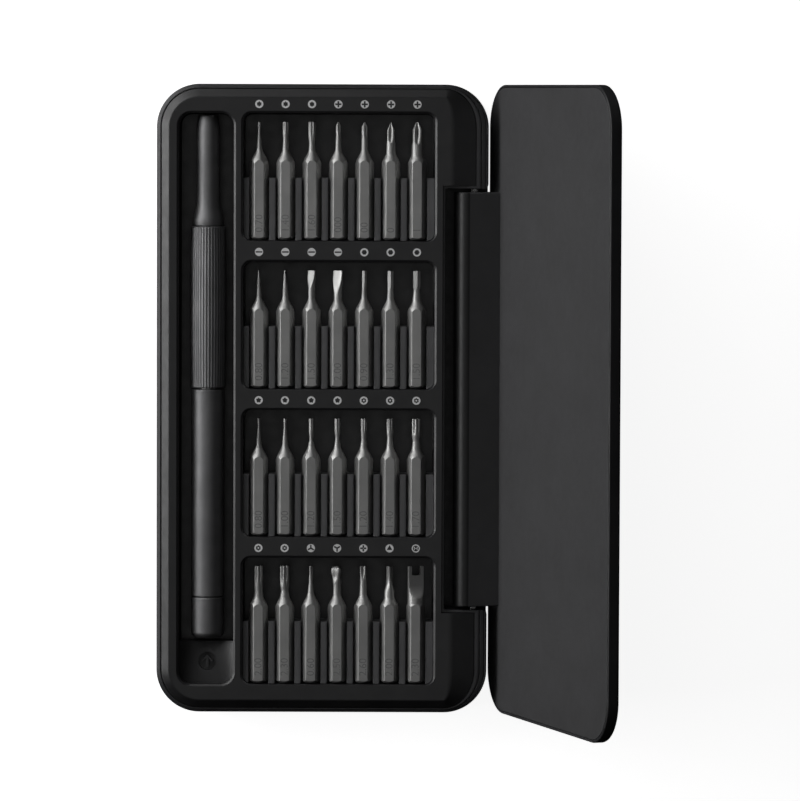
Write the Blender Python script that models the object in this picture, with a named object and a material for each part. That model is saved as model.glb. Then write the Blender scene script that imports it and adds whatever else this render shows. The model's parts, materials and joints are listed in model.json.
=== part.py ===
"""Precision screwdriver set: a flat case with a hinged lid, a driver and 28 bits.

Lengths in this file are millimetres, and a mesh is turned into metres when it is made.
+Z is up, +Y runs along the driver towards its nose, and +X points to the hinge side.
The origin is the centre of the case's underside. The lid stands open on its stop.
"""

import math

import bmesh
import bpy
from mathutils import Vector

MM = 0.001
GAP = 0.3  # clearance between neighbouring pieces
ABOVE = 6.0  # how far a cutter stands out of the face that it cuts

# case
CASE_WIDTH = 79.2
CASE_LENGTH = 150.5
CASE_CORNER = 10.3
FLOOR = 1.6
RIM_HEIGHT = 12.4
TRAY_TOP = 13.5
BOTTOM_ROUNDING = 1.2
RIM_ROUNDING = 1.2
RIM_SHARE = 0.7  # how much of the rim's wall its rounding takes on the free sides
HINGE_RIM_SHARE = 0.8
SHELL_WALL = 1.0
HINGE_WALL = 2.9  # the shell is thicker along the hinge side
NOTCH_WALL = 0.6
CORNER_STEPS = 8
HALF_WIDTH = CASE_WIDTH / 2
HALF_LENGTH = CASE_LENGTH / 2

# hinge
NOTCH_LEFT = 29.4
NOTCH_HALF_LENGTH = 50.45
OPEN_ANGLE = 109.2
AXIS_INSET = 3.3  # hinge axis from the case's hinge-side face
AXIS_DEPTH = 5.0  # hinge axis below the lid's inner face
LID_FACE = TRAY_TOP + GAP
HINGE_AXIS = (HALF_WIDTH - AXIS_INSET, 0.0, LID_FACE - AXIS_DEPTH)
PIN_RADIUS = 1.0
PIN_LENGTH = 12.0
BOSS_LENGTH = 7.0
BOSS_LEFT = 32.5
BOSS_TOP = 11.4

# lid
LID_THICKNESS = 2.9
LID_LIP = 0.4
LID_RECESS = 1.0
LID_EDGE_ROUNDING = 0.8
LID_EDGE_CHAMFER = 0.3
BLOCK_WIDTH = 6.9
BLOCK_DEPTH = 9.9
BLOCK_HALF_LENGTH = 49.6
BLOCK_ROUNDING = 2.2

# tray
TRAY_BOTTOM = FLOOR + GAP
BEVEL_DROP = 1.2
BEVEL_WIDTH = 1.9
HINGE_BEVEL_WIDTH = 5.6
WELL_CHAMFER = 0.5
DRIVER_WELL_X = (-34.25, -21.2)
DRIVER_WELL_END = 68.3
DRIVER_WELL_CORNER = 3.0
DRIVER_WELL_FLOOR = 4.2
SCOOP_START = -58.4  # the scoop is the well's near end, where a finger lifts the driver's cap
SCOOP_END = -68.4
SCOOP_FLOOR = 6.0
SCOOP_RISE = 4.2
SCOOP_TROUGH = 3.0  # how much higher the scoop is along its sides than along its middle

# bit wells and holders, one row each
ROWS = 4
ROW_PITCH = 35.43
FIRST_ROW_TAIL = 37.9  # y of the first row's tail-side wall
BIT_WELL_LENGTH = 30.4
BIT_WELL_X = (-18.9, 26.8)
BIT_WELL_CORNER = 2.0
BIT_WELL_FLOOR = 4.5
HOLDER_LENGTH = 14.7
RIB_TOP = 12.4
RIB_WIDTH = 0.84
STRIP_WIDTH = 5.0
STRIP_HEIGHT = 1.7
STRIP_INSET = 1.5  # from the well's wall to the end of its magnet strip

# bits
BITS_PER_ROW = 7
BIT_PITCH = 6.28
FIRST_BIT_X = -15.14
BIT_AXIS_HEIGHT = 11.1
BIT_LENGTH = 28.0
BIT_FLATS = 4.0
BIT_HEX_LENGTH = 18.6
BIT_TAIL_CHAMFER = 0.5
BIT_SHOULDER = 0.7
BIT_CONE = 2.6
BIT_POINTS = 12
FLUTE_LENGTH = 3.2
POST_HOLE_SHARE = 0.16
POST_HOLE_DEPTH = 0.8
FORK_SLOT_WIDTH = 2.4
FORK_SLOT_DEPTH = 2.0

# driver, measured back from the end of its nose
DRIVER_X = -27.4
DRIVER_AXIS_HEIGHT = 8.9
NOSE_END_Y = 67.7
NOSE_LENGTH = 26.45
GRIP_LENGTH = 39.05
BARREL_LENGTH = 49.9
CAP_LENGTH = 9.9
NOSE_RADIUS = 2.85
NOSE_END_RADIUS = 2.55
NOSE_FLARE_RADIUS = 3.75
SPIGOT_LENGTH = 9.0
SPIGOT_RADIUS = 2.6
CORE_RADIUS = 2.4
BUSHING_LENGTH = 7.0
CAP_PIN_RADIUS = 1.0
CAP_DOME = 2.4
GRIP_RADIUS = 4.4
BARREL_RADIUS = 4.0
SOCKET_FLATS = 4.3
SOCKET_DEPTH = 9.0
TURNED_POINTS = 24

# latch magnets under the tray's free edge and in the lid
MAGNET_Y = 30.0
MAGNET_LENGTH = 12.0
MAGNET_WIDTH = 1.6
MAGNET_HEIGHT = 6.0
MAGNET_X = -36.3
PLATE_WIDTH = 4.0
PLATE_HEIGHT = 0.7


# ---------------------------------------------------------------- scene helpers
def material(name, colour, roughness, metallic):
    """A Principled material of one colour."""
    made = bpy.data.materials.new(name)
    made.use_nodes = True
    shader = made.node_tree.nodes["Principled BSDF"]
    shader.inputs["Base Color"].default_value = (*colour, 1.0)
    shader.inputs["Roughness"].default_value = roughness
    shader.inputs["Metallic"].default_value = metallic
    made.diffuse_color = (*colour, 1.0)
    return made


def empty(name, location):
    """A named point that moving pieces hang on, its place in millimetres."""
    point = bpy.data.objects.new(name, None)
    point.location = Vector(location) * MM
    point.empty_display_size = 0.01
    bpy.context.scene.collection.objects.link(point)
    return point


def piece(name, shape, finish=None, location=(0, 0, 0), parent=None, smooth=35):
    """Turn a bmesh in millimetres into an object, which owns the mesh from then on."""
    bmesh.ops.scale(shape, vec=(MM, MM, MM), verts=shape.verts)
    mesh = bpy.data.meshes.new(name)
    shape.to_mesh(mesh)
    shape.free()
    mesh.shade_smooth()
    mesh.set_sharp_from_angle(angle=math.radians(smooth))
    made = bpy.data.objects.new(name, mesh)
    made.location = Vector(location) * MM
    made.parent = parent
    if finish:
        mesh.materials.append(finish)
    bpy.context.scene.collection.objects.link(made)
    return made


def boolean(target, name, shape, operation="DIFFERENCE", location=(0, 0, 0)):
    """Cut the target with a helper shape, or join the shape to it."""
    helper = piece(name, shape, location=location, parent=target)
    helper.display_type = "WIRE"
    helper.hide_render = True
    modifier = target.modifiers.new(name, "BOOLEAN")
    modifier.object = helper
    modifier.operation = operation
    modifier.solver = "EXACT"


# ---------------------------------------------------------------- shapes
def loft(loops, ring=False):
    """Skin loops of equal length. A ring joins its last loop to its first; others get end caps."""
    shape = bmesh.new()
    rows = [[shape.verts.new(point) for point in loop] for loop in loops]
    pairs = list(zip(rows, rows[1:]))
    if ring:
        pairs.append((rows[-1], rows[0]))
    for low, high in pairs:
        for i in range(len(low)):
            j = (i + 1) % len(low)
            shape.faces.new((low[i], low[j], high[j], high[i]))
    if not ring:
        shape.faces.new(rows[0][::-1])
        shape.faces.new(rows[-1])
    bmesh.ops.recalc_face_normals(shape, faces=shape.faces)
    return shape


def block(low, high):
    """A box between two corners."""
    (x0, y0, z0), (x1, y1, z1) = low, high
    plan = [(x0, y0), (x1, y0), (x1, y1), (x0, y1)]
    return loft([at_height(plan, z0), at_height(plan, z1)])


def at_height(plan, z):
    """A flat loop of plan points lifted to a height."""
    return [(x, y, z) for x, y in plan]


def corner(centre, radii, start, steps):
    """A quarter of an ellipse, anticlockwise from the start angle in degrees."""
    angles = [math.radians(start + 90 * i / steps) for i in range(steps + 1)]
    return [(centre[0] + radii[0] * math.cos(a), centre[1] + radii[1] * math.sin(a)) for a in angles]


def rounded_plan(x0, y0, x1, y1, radius, steps=5):
    """A rectangle with round corners, anticlockwise."""
    near, far = y0 + radius, y1 - radius
    left, right = x0 + radius, x1 - radius
    radii = (radius, radius)
    return (
        corner((right, near), radii, -90, steps)
        + corner((right, far), radii, 0, steps)
        + corner((left, far), radii, 90, steps)
        + corner((left, near), radii, 180, steps)
    )


def case_plan(inset, hinge_inset, notch_inset=None):
    """The case's outline moved in by each inset, with the hinge block's notch if that has an inset."""
    cx, cy = HALF_WIDTH - CASE_CORNER, HALF_LENGTH - CASE_CORNER
    radius = CASE_CORNER - inset
    hinge_radii = (CASE_CORNER - hinge_inset, radius)
    plan = corner((cx, -cy), hinge_radii, -90, CORNER_STEPS)
    if notch_inset is not None:
        end = NOTCH_HALF_LENGTH + notch_inset
        mouth, wall = HALF_WIDTH - hinge_inset, NOTCH_LEFT - notch_inset
        plan += [(mouth, -end), (wall, -end), (wall, end), (mouth, end)]
    plan += corner((cx, cy), hinge_radii, 0, CORNER_STEPS)
    plan += corner((-cx, cy), (radius, radius), 90, CORNER_STEPS)
    plan += corner((-cx, -cy), (radius, radius), 180, CORNER_STEPS)
    return plan


def rounding(radius, steps=4):
    """Pairs (inward, upward) around a quarter round from its side to its face."""
    angles = [math.radians(90 * i / steps) for i in range(steps + 1)]
    return [(radius * (1 - math.cos(a)), radius * math.sin(a)) for a in angles]


def section(y, radius_at, points=TURNED_POINTS):
    """A loop around the Y axis, whose radius may depend on the angle from +Z towards +X."""
    angles = [2 * math.pi * i / points for i in range(points)]
    return [(radius_at(a) * math.sin(a), y, radius_at(a) * math.cos(a)) for a in angles]


def circle(radius):
    """The radius function of a round section."""
    return lambda angle: radius


def polygon(sides, flat_radius, turn=0.0):
    """The radius function of a regular polygon with a flat on top, turned by an angle."""
    share = 2 * math.pi / sides
    return lambda angle: flat_radius / math.cos((angle - turn + share / 2) % share - share / 2)


def star(lobes, outer, inner):
    """The radius function of a section with round lobes, one of them on top."""
    middle, swing = (outer + inner) / 2, (outer - inner) / 2
    return lambda angle: middle + swing * math.cos(lobes * angle)


def blade(width, thickness, turn=0.0):
    """The radius function of a flat blade, its width along X when it isn't turned."""

    def radius_at(angle):
        across, along = abs(math.sin(angle - turn)), abs(math.cos(angle - turn))
        return min(width / 2 / max(across, 1e-6), thickness / 2 / max(along, 1e-6))

    return radius_at


def turned(profile, points=TURNED_POINTS, ring=False):
    """A body turned about the Y axis from pairs (y, radius)."""
    return loft([section(y, circle(radius), points) for y, radius in profile], ring)


# ---------------------------------------------------------------- case
def make_case_shell(finish):
    """The outer pan: rounded below and at the rim, with the hinge block's notch and its pins' bosses."""
    loops = []
    for inward, upward in reversed(rounding(BOTTOM_ROUNDING)):
        loops.append(at_height(case_plan(inward, inward), BOTTOM_ROUNDING - upward))
    rim_start = RIM_HEIGHT - RIM_ROUNDING
    hinge_share = HINGE_RIM_SHARE * HINGE_WALL / RIM_ROUNDING
    free_share = RIM_SHARE * SHELL_WALL / RIM_ROUNDING
    for inward, upward in rounding(RIM_ROUNDING):
        plan = case_plan(inward * free_share, inward * hinge_share)
        loops.append(at_height(plan, rim_start + upward))
    shell = piece("case_shell", loft(loops), finish)

    notch = block(
        (NOTCH_LEFT, -NOTCH_HALF_LENGTH, FLOOR),
        (HALF_WIDTH + ABOVE, NOTCH_HALF_LENGTH, RIM_HEIGHT + ABOVE),
    )
    boolean(shell, "notch_cutter", notch)
    plan = case_plan(SHELL_WALL, HINGE_WALL, NOTCH_WALL)
    inside = loft([at_height(plan, FLOOR), at_height(plan, RIM_HEIGHT + ABOVE)])
    boolean(shell, "inside_cutter", inside)
    for end, side in (("far", 1), ("near", -1)):
        faces = sorted((side * (NOTCH_HALF_LENGTH + GAP), side * (NOTCH_HALF_LENGTH + BOSS_LENGTH)))
        boss = block((BOSS_LEFT, faces[0], FLOOR / 2), (HALF_WIDTH - 1, faces[1], BOSS_TOP))
        boolean(shell, f"boss_{end}", boss, "UNION")
        bore_end = NOTCH_HALF_LENGTH + BOSS_LENGTH - 1
        profile = [(NOTCH_HALF_LENGTH - 1, PIN_RADIUS + GAP), (bore_end, PIN_RADIUS + GAP)]
        bore = turned([(side * y, radius) for y, radius in profile], points=16)
        boolean(shell, f"pin_bore_{end}", bore, location=HINGE_AXIS)
    return shell


def well_cutter(x0, y0, x1, y1, radius, floor):
    """The hollow of a well: straight walls, with a chamfer around its mouth."""
    mouth, wide = TRAY_TOP - WELL_CHAMFER, WELL_CHAMFER
    walls = rounded_plan(x0, y0, x1, y1, radius)
    lip = rounded_plan(x0 - wide, y0 - wide, x1 + wide, y1 + wide, radius + wide)
    beyond = wide + ABOVE
    over = rounded_plan(x0 - beyond, y0 - beyond, x1 + beyond, y1 + beyond, radius + beyond)
    return loft([
        at_height(walls, floor),
        at_height(walls, mouth),
        at_height(lip, TRAY_TOP),
        at_height(over, TRAY_TOP + ABOVE),
    ])


def scoop_filler():
    """The ramp that rises under the driver's cap, hollowed like a trough."""
    x0, x1 = DRIVER_WELL_X
    reach = SCOOP_START - SCOOP_END + 2
    middle, half = (x0 + x1) / 2, (x1 - x0) / 2 + 1
    steps_along, steps_across = 6, 8
    loops = []
    for i in range(steps_along + 1):
        share = i / steps_along
        y = SCOOP_START - reach * share
        low = SCOOP_FLOOR + SCOOP_RISE * share**1.5
        surface = []
        for k in range(steps_across + 1):
            across = 2 * k / steps_across - 1
            rise = SCOOP_TROUGH * (1 - math.sqrt(1 - 0.9 * across * across))
            surface.append((middle + half * across, y, low + rise))
        under = [(middle + half, y, TRAY_BOTTOM + 1), (middle - half, y, TRAY_BOTTOM + 1)]
        loops.append(surface + under)
    return loft(loops)


def make_tray(finish):
    """The moulded tray: a bevelled plateau with a well for the driver and one for each row of bits."""
    hinge_side = HINGE_WALL + GAP
    inset, notch_inset = SHELL_WALL + GAP, NOTCH_WALL + GAP
    body = case_plan(inset, hinge_side, notch_inset)
    top = case_plan(inset + BEVEL_WIDTH, hinge_side + HINGE_BEVEL_WIDTH, notch_inset)
    loops = [
        at_height(body, TRAY_BOTTOM),
        at_height(body, TRAY_TOP - BEVEL_DROP),
        at_height(top, TRAY_TOP),
    ]
    tray = piece("tray", loft(loops), finish, smooth=20)
    x0, x1 = DRIVER_WELL_X
    driver_well = well_cutter(x0, SCOOP_END, x1, DRIVER_WELL_END, DRIVER_WELL_CORNER, DRIVER_WELL_FLOOR)
    boolean(tray, "driver_well", driver_well)
    boolean(tray, "finger_scoop", scoop_filler(), "UNION")
    for row in range(ROWS):
        tail = row_tail(row)
        x0, x1 = BIT_WELL_X
        well = well_cutter(x0, tail, x1, tail + BIT_WELL_LENGTH, BIT_WELL_CORNER, BIT_WELL_FLOOR)
        boolean(tray, f"bit_well_{row + 1}", well)
    for end, side in (("far", 1), ("near", -1)):
        faces = sorted((side * (NOTCH_HALF_LENGTH - 1), side * (NOTCH_HALF_LENGTH + BOSS_LENGTH + GAP)))
        relief = block((BOSS_LEFT - GAP, faces[0], 0), (HALF_WIDTH, faces[1], BOSS_TOP + GAP))
        boolean(tray, f"boss_relief_{end}", relief)
        half_width, half_length = MAGNET_WIDTH / 2 + GAP, MAGNET_LENGTH / 2 + GAP
        low = (MAGNET_X - half_width, side * MAGNET_Y - half_length, 0)
        high = (MAGNET_X + half_width, side * MAGNET_Y + half_length, magnet_top() + GAP)
        boolean(tray, f"magnet_slot_{end}", block(low, high))
    return tray


def row_tail(row):
    """Y of a row's tail-side wall."""
    return FIRST_ROW_TAIL - row * ROW_PITCH


def magnet_top():
    """Height of the latch magnets' upper edge."""
    return TRAY_BOTTOM + GAP + MAGNET_HEIGHT


def make_latch_magnets(finish):
    """Two bar magnets that stand in slots of the tray's free side."""
    for end, side in (("far", 1), ("near", -1)):
        half = (MAGNET_WIDTH / 2, MAGNET_LENGTH / 2)
        low = (-half[0], -half[1], TRAY_BOTTOM + GAP)
        high = (half[0], half[1], magnet_top())
        piece(f"latch_magnet_{end}", block(low, high), finish, (MAGNET_X, side * MAGNET_Y, 0))


def holder_plan():
    """A bit holder seen along Y: ribs between the bits on a common base, left wide at both ends."""
    x0, x1 = BIT_WELL_X[0] - 1, BIT_WELL_X[1] + 1
    bottom, channel = BIT_WELL_FLOOR + GAP, BIT_AXIS_HEIGHT - BIT_FLATS / 2 - GAP
    points = [(x0, bottom), (x1, bottom), (x1, RIB_TOP)]
    for k in reversed(range(BITS_PER_ROW)):
        middle = FIRST_BIT_X + BIT_PITCH * k
        half = (BIT_PITCH - RIB_WIDTH) / 2
        points += [(middle + half, RIB_TOP), (middle + half, channel)]
        points += [(middle - half, channel), (middle - half, RIB_TOP)]
    points.append((x0, RIB_TOP))
    return points


def make_bit_holder(row, finish):
    """A comb that keeps one row of bits apart, with a slot below for its magnet strip."""
    start = row_tail(row) + GAP
    loops = [[(x, y, z) for x, z in holder_plan()] for y in (start - 1, start + HOLDER_LENGTH)]
    holder = piece(f"bit_holder_{row + 1}", loft(loops), finish)
    left, right = BIT_WELL_X[0] + GAP, BIT_WELL_X[1] - GAP
    plan = rounded_plan(left, start, right, start + BIT_WELL_LENGTH, BIT_WELL_CORNER - GAP)
    trim = loft([at_height(plan, 0), at_height(plan, TRAY_TOP)])
    boolean(holder, f"holder_trim_{row + 1}", trim, "INTERSECT")
    x0, x1 = strip_ends()
    middle, half = start + HOLDER_LENGTH / 2, STRIP_WIDTH / 2 + GAP
    slot_top = strip_bottom() + STRIP_HEIGHT + GAP
    slot = block((x0 - GAP, middle - half, 0), (x1 + GAP, middle + half, slot_top))
    boolean(holder, f"strip_slot_{row + 1}", slot)


def strip_ends():
    """X of both ends of a magnet strip."""
    return BIT_WELL_X[0] + STRIP_INSET, BIT_WELL_X[1] - STRIP_INSET


def strip_bottom():
    """Height of a magnet strip's underside."""
    return BIT_WELL_FLOOR + 2 * GAP


def make_magnet_strip(row, finish):
    """The magnet strip under one row of bits."""
    x0, x1 = strip_ends()
    middle = row_tail(row) + GAP + HOLDER_LENGTH / 2
    low = (x0, middle - STRIP_WIDTH / 2, strip_bottom())
    high = (x1, middle + STRIP_WIDTH / 2, strip_bottom() + STRIP_HEIGHT)
    piece(f"magnet_strip_{row + 1}", block(low, high), finish)


# ---------------------------------------------------------------- lid
def lid_plan(inset):
    """The lid's outline moved in, measured from the hinge axis."""
    return [(x - HINGE_AXIS[0], y) for x, y in case_plan(inset, inset)]


def make_lid_shell(finish, axis):
    """The outer plate, drawn closed over the case: rounded outside, with a recess for the lining."""
    inner, outer = AXIS_DEPTH, AXIS_DEPTH + LID_THICKNESS
    recess = lid_plan(LID_LIP)
    loops = [
        at_height(recess, inner + LID_RECESS),
        at_height(recess, inner + 0.1),
        at_height(lid_plan(LID_EDGE_CHAMFER), inner),
        at_height(lid_plan(0), inner + LID_EDGE_CHAMFER),
    ]
    for inward, upward in rounding(LID_EDGE_ROUNDING):
        loops.append(at_height(lid_plan(inward), outer - LID_EDGE_ROUNDING + upward))
    shell = piece("lid_shell", loft(loops), finish, parent=axis)
    x = MAGNET_X - HINGE_AXIS[0]
    for end, side in (("far", 1), ("near", -1)):
        half = (PLATE_WIDTH / 2 + GAP, MAGNET_LENGTH / 2 + GAP)
        low = (x - half[0], side * MAGNET_Y - half[1], inner)
        high = (x + half[0], side * MAGNET_Y + half[1], inner + LID_RECESS + GAP + PLATE_HEIGHT)
        boolean(shell, f"plate_pocket_{end}", block(low, high))


def block_profile():
    """The hinge block seen along Y, from the lid's inner face down and back, with two round edges."""
    left, right = AXIS_INSET - LID_LIP - GAP - BLOCK_WIDTH, AXIS_INSET - LID_LIP - GAP
    bottom = AXIS_DEPTH - BLOCK_DEPTH
    radii = (BLOCK_ROUNDING, BLOCK_ROUNDING)
    near = corner((left + BLOCK_ROUNDING, bottom + BLOCK_ROUNDING), radii, 180, 5)
    far = corner((right - BLOCK_ROUNDING, bottom + BLOCK_ROUNDING), radii, 270, 5)
    top = AXIS_DEPTH + LID_RECESS / 2
    return [(left, top)] + near + far + [(right, top)]


def make_lid_lining(finish, axis):
    """The lid's flat inner face, moulded in one piece with the block that turns in the case's notch."""
    plan = lid_plan(LID_LIP + GAP)
    top = AXIS_DEPTH + LID_RECESS - GAP
    lining = piece(
        "lid_lining", loft([at_height(plan, AXIS_DEPTH), at_height(plan, top)]), finish, parent=axis
    )
    loops = [[(x, y, z) for x, z in block_profile()] for y in (-BLOCK_HALF_LENGTH, BLOCK_HALF_LENGTH)]
    boolean(lining, "hinge_block", loft(loops), "UNION")
    for end, side in (("far", 1), ("near", -1)):
        profile = [(BLOCK_HALF_LENGTH + 1, PIN_RADIUS + GAP), (pin_inner_end() - GAP, PIN_RADIUS + GAP)]
        bore = turned([(side * y, radius) for y, radius in profile], points=16)
        boolean(lining, f"block_bore_{end}", bore)


def pin_inner_end():
    """Y of a hinge pin's end inside the block."""
    return NOTCH_HALF_LENGTH + BOSS_LENGTH - 1 - GAP - PIN_LENGTH


def make_hinge_pins(finish, axis):
    """A steel pin at each end of the block, turning in the case's boss."""
    for end, side in (("far", 1), ("near", -1)):
        start, chamfer = pin_inner_end(), 0.2
        stop = start + PIN_LENGTH
        profile = [
            (start, PIN_RADIUS - chamfer),
            (start + chamfer, PIN_RADIUS),
            (stop - chamfer, PIN_RADIUS),
            (stop, PIN_RADIUS - chamfer),
        ]
        shape = turned([(side * y, radius) for y, radius in profile], points=16)
        piece(f"hinge_pin_{end}", shape, finish, parent=axis)


def make_latch_plates(finish, axis):
    """Two steel plates behind the lining, which the latch magnets pull on."""
    x = MAGNET_X - HINGE_AXIS[0]
    bottom = AXIS_DEPTH + LID_RECESS
    for end, side in (("far", 1), ("near", -1)):
        low = (x - PLATE_WIDTH / 2, side * MAGNET_Y - MAGNET_LENGTH / 2, bottom)
        high = (x + PLATE_WIDTH / 2, side * MAGNET_Y + MAGNET_LENGTH / 2, bottom + PLATE_HEIGHT)
        piece(f"latch_plate_{end}", block(low, high), finish, parent=axis)


# ---------------------------------------------------------------- driver
def driver_stations():
    """Y of each joint between the driver's sleeves, from the nose's end back to the cap's end."""
    stations = [NOSE_END_Y]
    for length in (NOSE_LENGTH, GRIP_LENGTH, BARREL_LENGTH, CAP_LENGTH):
        stations.append(stations[-1] - length)
    return stations


def sleeve(name, outside, bore, finish, axis):
    """A tube about the driver's axis: its outer profile from front to back, and one bore through it."""
    front, back = outside[0][0], outside[-1][0]
    piece(name, turned(outside + [(back, bore), (front, bore)], ring=True), finish, parent=axis)


def make_driver_nose(finishes, axis):
    """The nose, with the bits' hex socket at its end, a magnet behind that, and a spigot for the grip."""
    nose_end, nose_back = driver_stations()[:2]
    outside = [
        (nose_back - SPIGOT_LENGTH, SPIGOT_RADIUS),
        (nose_back + GAP, SPIGOT_RADIUS),
        (nose_back + GAP, NOSE_FLARE_RADIUS),
        (nose_back + 2.0, NOSE_FLARE_RADIUS),
        (nose_back + 5.2, NOSE_RADIUS),
        (nose_end - 3.4, NOSE_RADIUS),
        (nose_end - 0.4, NOSE_END_RADIUS + 0.05),
        (nose_end, NOSE_END_RADIUS),
    ]
    magnet_hole, magnet_end = 1.9, nose_end - SOCKET_DEPTH - 2.6
    loops = [section(y, circle(radius)) for y, radius in outside]
    loops.append(section(nose_end, polygon(6, SOCKET_FLATS / 2)))
    loops.append(section(nose_end - SOCKET_DEPTH, polygon(6, SOCKET_FLATS / 2)))
    loops.append(section(nose_end - SOCKET_DEPTH, circle(magnet_hole)))
    loops.append(section(magnet_end, circle(magnet_hole)))
    piece("driver_nose", loft(loops), finishes["driver"], parent=axis)
    radius = magnet_hole - GAP
    magnet = turned([(magnet_end + GAP, radius), (nose_end - SOCKET_DEPTH - GAP, radius)], points=16)
    piece("driver_magnet", magnet, finishes["magnet"], parent=axis)


def make_driver(finishes, axis):
    """A hollow nose, a grip and a smooth barrel on one core, and a cap that spins under the finger."""
    make_driver_nose(finishes, axis)
    _, nose_back, grip_back, barrel_back, cap_back = driver_stations()
    bore, edge = SPIGOT_RADIUS + GAP, 0.2

    rim, lip = GRIP_RADIUS - 0.25, 0.3
    grip = [
        (nose_back, rim - lip),
        (nose_back - lip, rim),
        (nose_back - GRIP_LENGTH * 0.3, GRIP_RADIUS),
        (nose_back - GRIP_LENGTH * 0.7, GRIP_RADIUS),
        (grip_back + GAP + lip, rim),
        (grip_back + GAP, rim - lip),
    ]
    sleeve("driver_grip", grip, bore, finishes["driver"], axis)
    barrel = [
        (grip_back, BARREL_RADIUS - edge),
        (grip_back - edge, BARREL_RADIUS),
        (barrel_back + GAP + edge, BARREL_RADIUS),
        (barrel_back + GAP, BARREL_RADIUS - edge),
    ]
    sleeve("driver_barrel", barrel, bore, finishes["driver"], axis)

    core_front, core_back = nose_back - SPIGOT_LENGTH - GAP, barrel_back + BUSHING_LENGTH
    core = [(core_front, CORE_RADIUS - edge), (core_front - edge, CORE_RADIUS), (core_back, CORE_RADIUS)]
    piece("driver_core", turned(core), finishes["steel"], parent=axis)

    bush_front, pin_bore = core_back - GAP, CAP_PIN_RADIUS + GAP
    bushing = [(bush_front, CORE_RADIUS), (barrel_back + GAP, CORE_RADIUS)]
    sleeve("cap_bushing", bushing, pin_bore, finishes["bush"], axis)
    pin_back = cap_back + 3.0
    pin = turned([(bush_front - GAP, CAP_PIN_RADIUS), (pin_back, CAP_PIN_RADIUS)], points=16)
    piece("cap_pin", pin, finishes["steel"], parent=axis)

    outside = [(barrel_back, BARREL_RADIUS - edge), (barrel_back - edge, BARREL_RADIUS)]
    for inward, along in rounding(CAP_DOME):
        outside.append((cap_back + CAP_DOME - along, BARREL_RADIUS - inward))
    profile = outside[::-1] + [(barrel_back, pin_bore), (pin_back - GAP, pin_bore)]
    piece("driver_cap", turned(profile), finishes["driver"], parent=axis)


# ---------------------------------------------------------------- bits
def rings_of(stations):
    """The loops of a tip from pairs (y, radius function)."""
    return [section(y, radius_at, BIT_POINTS) for y, radius_at in stations]


def fluted(lobes, hollow=False, depth=0.72):
    """A star-shaped tip, with a hole in its end for a screw that has a centre post."""

    def rings(tip, end):
        outer, inner = tip / 2, tip / 2 * depth
        stations = [
            (end - FLUTE_LENGTH, circle(inner)),
            (end - FLUTE_LENGTH + 0.6, star(lobes, outer, inner)),
            (end - 0.15, star(lobes, outer, inner)),
            (end, star(lobes, outer * 0.85, inner * 0.9)),
        ]
        if hollow:
            hole = circle(tip * POST_HOLE_SHARE)
            stations += [(end, hole), (end - POST_HOLE_DEPTH, hole)]
        return rings_of(stations)

    return rings


def pointed_cross(tip, end):
    """A cross tip whose four wings run in to a small flat point."""
    outer, reach = tip / 2, 1.2 * tip
    return rings_of([
        (end - reach - 0.6 * tip, circle(outer)),
        (end - reach, star(4, outer, outer * 0.75)),
        (end - 0.5 * reach, star(4, outer * 0.75, outer * 0.4)),
        (end, star(4, outer * 0.25, outer * 0.15)),
    ])


def flat_blade(turn):
    """A slotted tip that flattens towards its end, turned about the bit's axis."""

    def rings(tip, end):
        return rings_of([
            (end - 4.6, blade(tip * 0.6, tip * 0.5 + 0.2, turn)),
            (end - 2.2, blade(tip, tip * 0.25 + 0.15, turn)),
            (end, blade(tip, 0.3, turn)),
        ])

    return rings


def prism(sides):
    """A straight tip with flat sides."""

    def rings(tip, end):
        flat = tip / 2 if sides > 3 else tip * 0.3
        return rings_of([
            (end - 3.0, polygon(sides, flat)),
            (end - 0.1, polygon(sides, flat)),
            (end, polygon(sides, flat * 0.85)),
        ])

    return rings


def fork_blade(tip, end):
    """A wide flat blade, whose slot is cut afterwards."""
    return rings_of([
        (end - 6.6, blade(tip * 0.9, tip * 0.8)),
        (end - 4.2, blade(tip, 1.1)),
        (end, blade(tip, 0.9)),
    ])


# each row from the driver to the hinge: name, tip shape, tip width, shaft diameter
BIT_ROWS = [
    [
        ("six_lobe_1", fluted(6), 0.75, 0.9), ("six_lobe_2", fluted(6), 1.45, 1.3),
        ("six_lobe_3", fluted(6), 1.6, 1.3),
        ("cross_1", pointed_cross, 0.95, 0.95), ("cross_2", pointed_cross, 1.4, 1.3),
        ("cross_3", pointed_cross, 2.1, 2.0), ("cross_4", pointed_cross, 2.7, 2.7),
    ],
    [
        ("slot_1", flat_blade(1.1), 0.9, 0.9), ("slot_2", flat_blade(1.1), 1.2, 1.2),
        ("slot_3", flat_blade(0.4), 2.0, 1.4), ("slot_4", flat_blade(0.4), 2.5, 1.8),
        ("hex_1", prism(6), 0.9, 1.1), ("hex_2", prism(6), 1.3, 1.4), ("hex_3", prism(6), 1.5, 1.7),
    ],
    [
        ("five_lobe_1", fluted(5), 0.75, 0.9), ("five_lobe_2", fluted(5), 0.8, 1.1),
        ("five_lobe_3", fluted(5), 0.9, 1.2), ("five_lobe_4", fluted(5), 1.3, 1.2),
        ("six_lobe_post_1", fluted(6, True), 1.35, 1.3), ("six_lobe_post_2", fluted(6, True), 1.6, 1.6),
        ("six_lobe_post_3", fluted(6, True), 2.1, 2.0),
    ],
    [
        ("six_lobe_post_4", fluted(6, True), 2.2, 2.1), ("six_lobe_post_5", fluted(6, True), 2.4, 2.2),
        ("tri_point_1", fluted(3, depth=0.5), 1.0, 1.2), ("tri_wing_1", fluted(3, depth=0.5), 2.6, 1.9),
        ("cross_post_1", fluted(4, depth=0.5), 1.9, 1.5), ("triangle_1", prism(3), 1.2, 1.2),
        ("fork_1", fork_blade, 3.9, 3.4),
    ],
]


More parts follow.
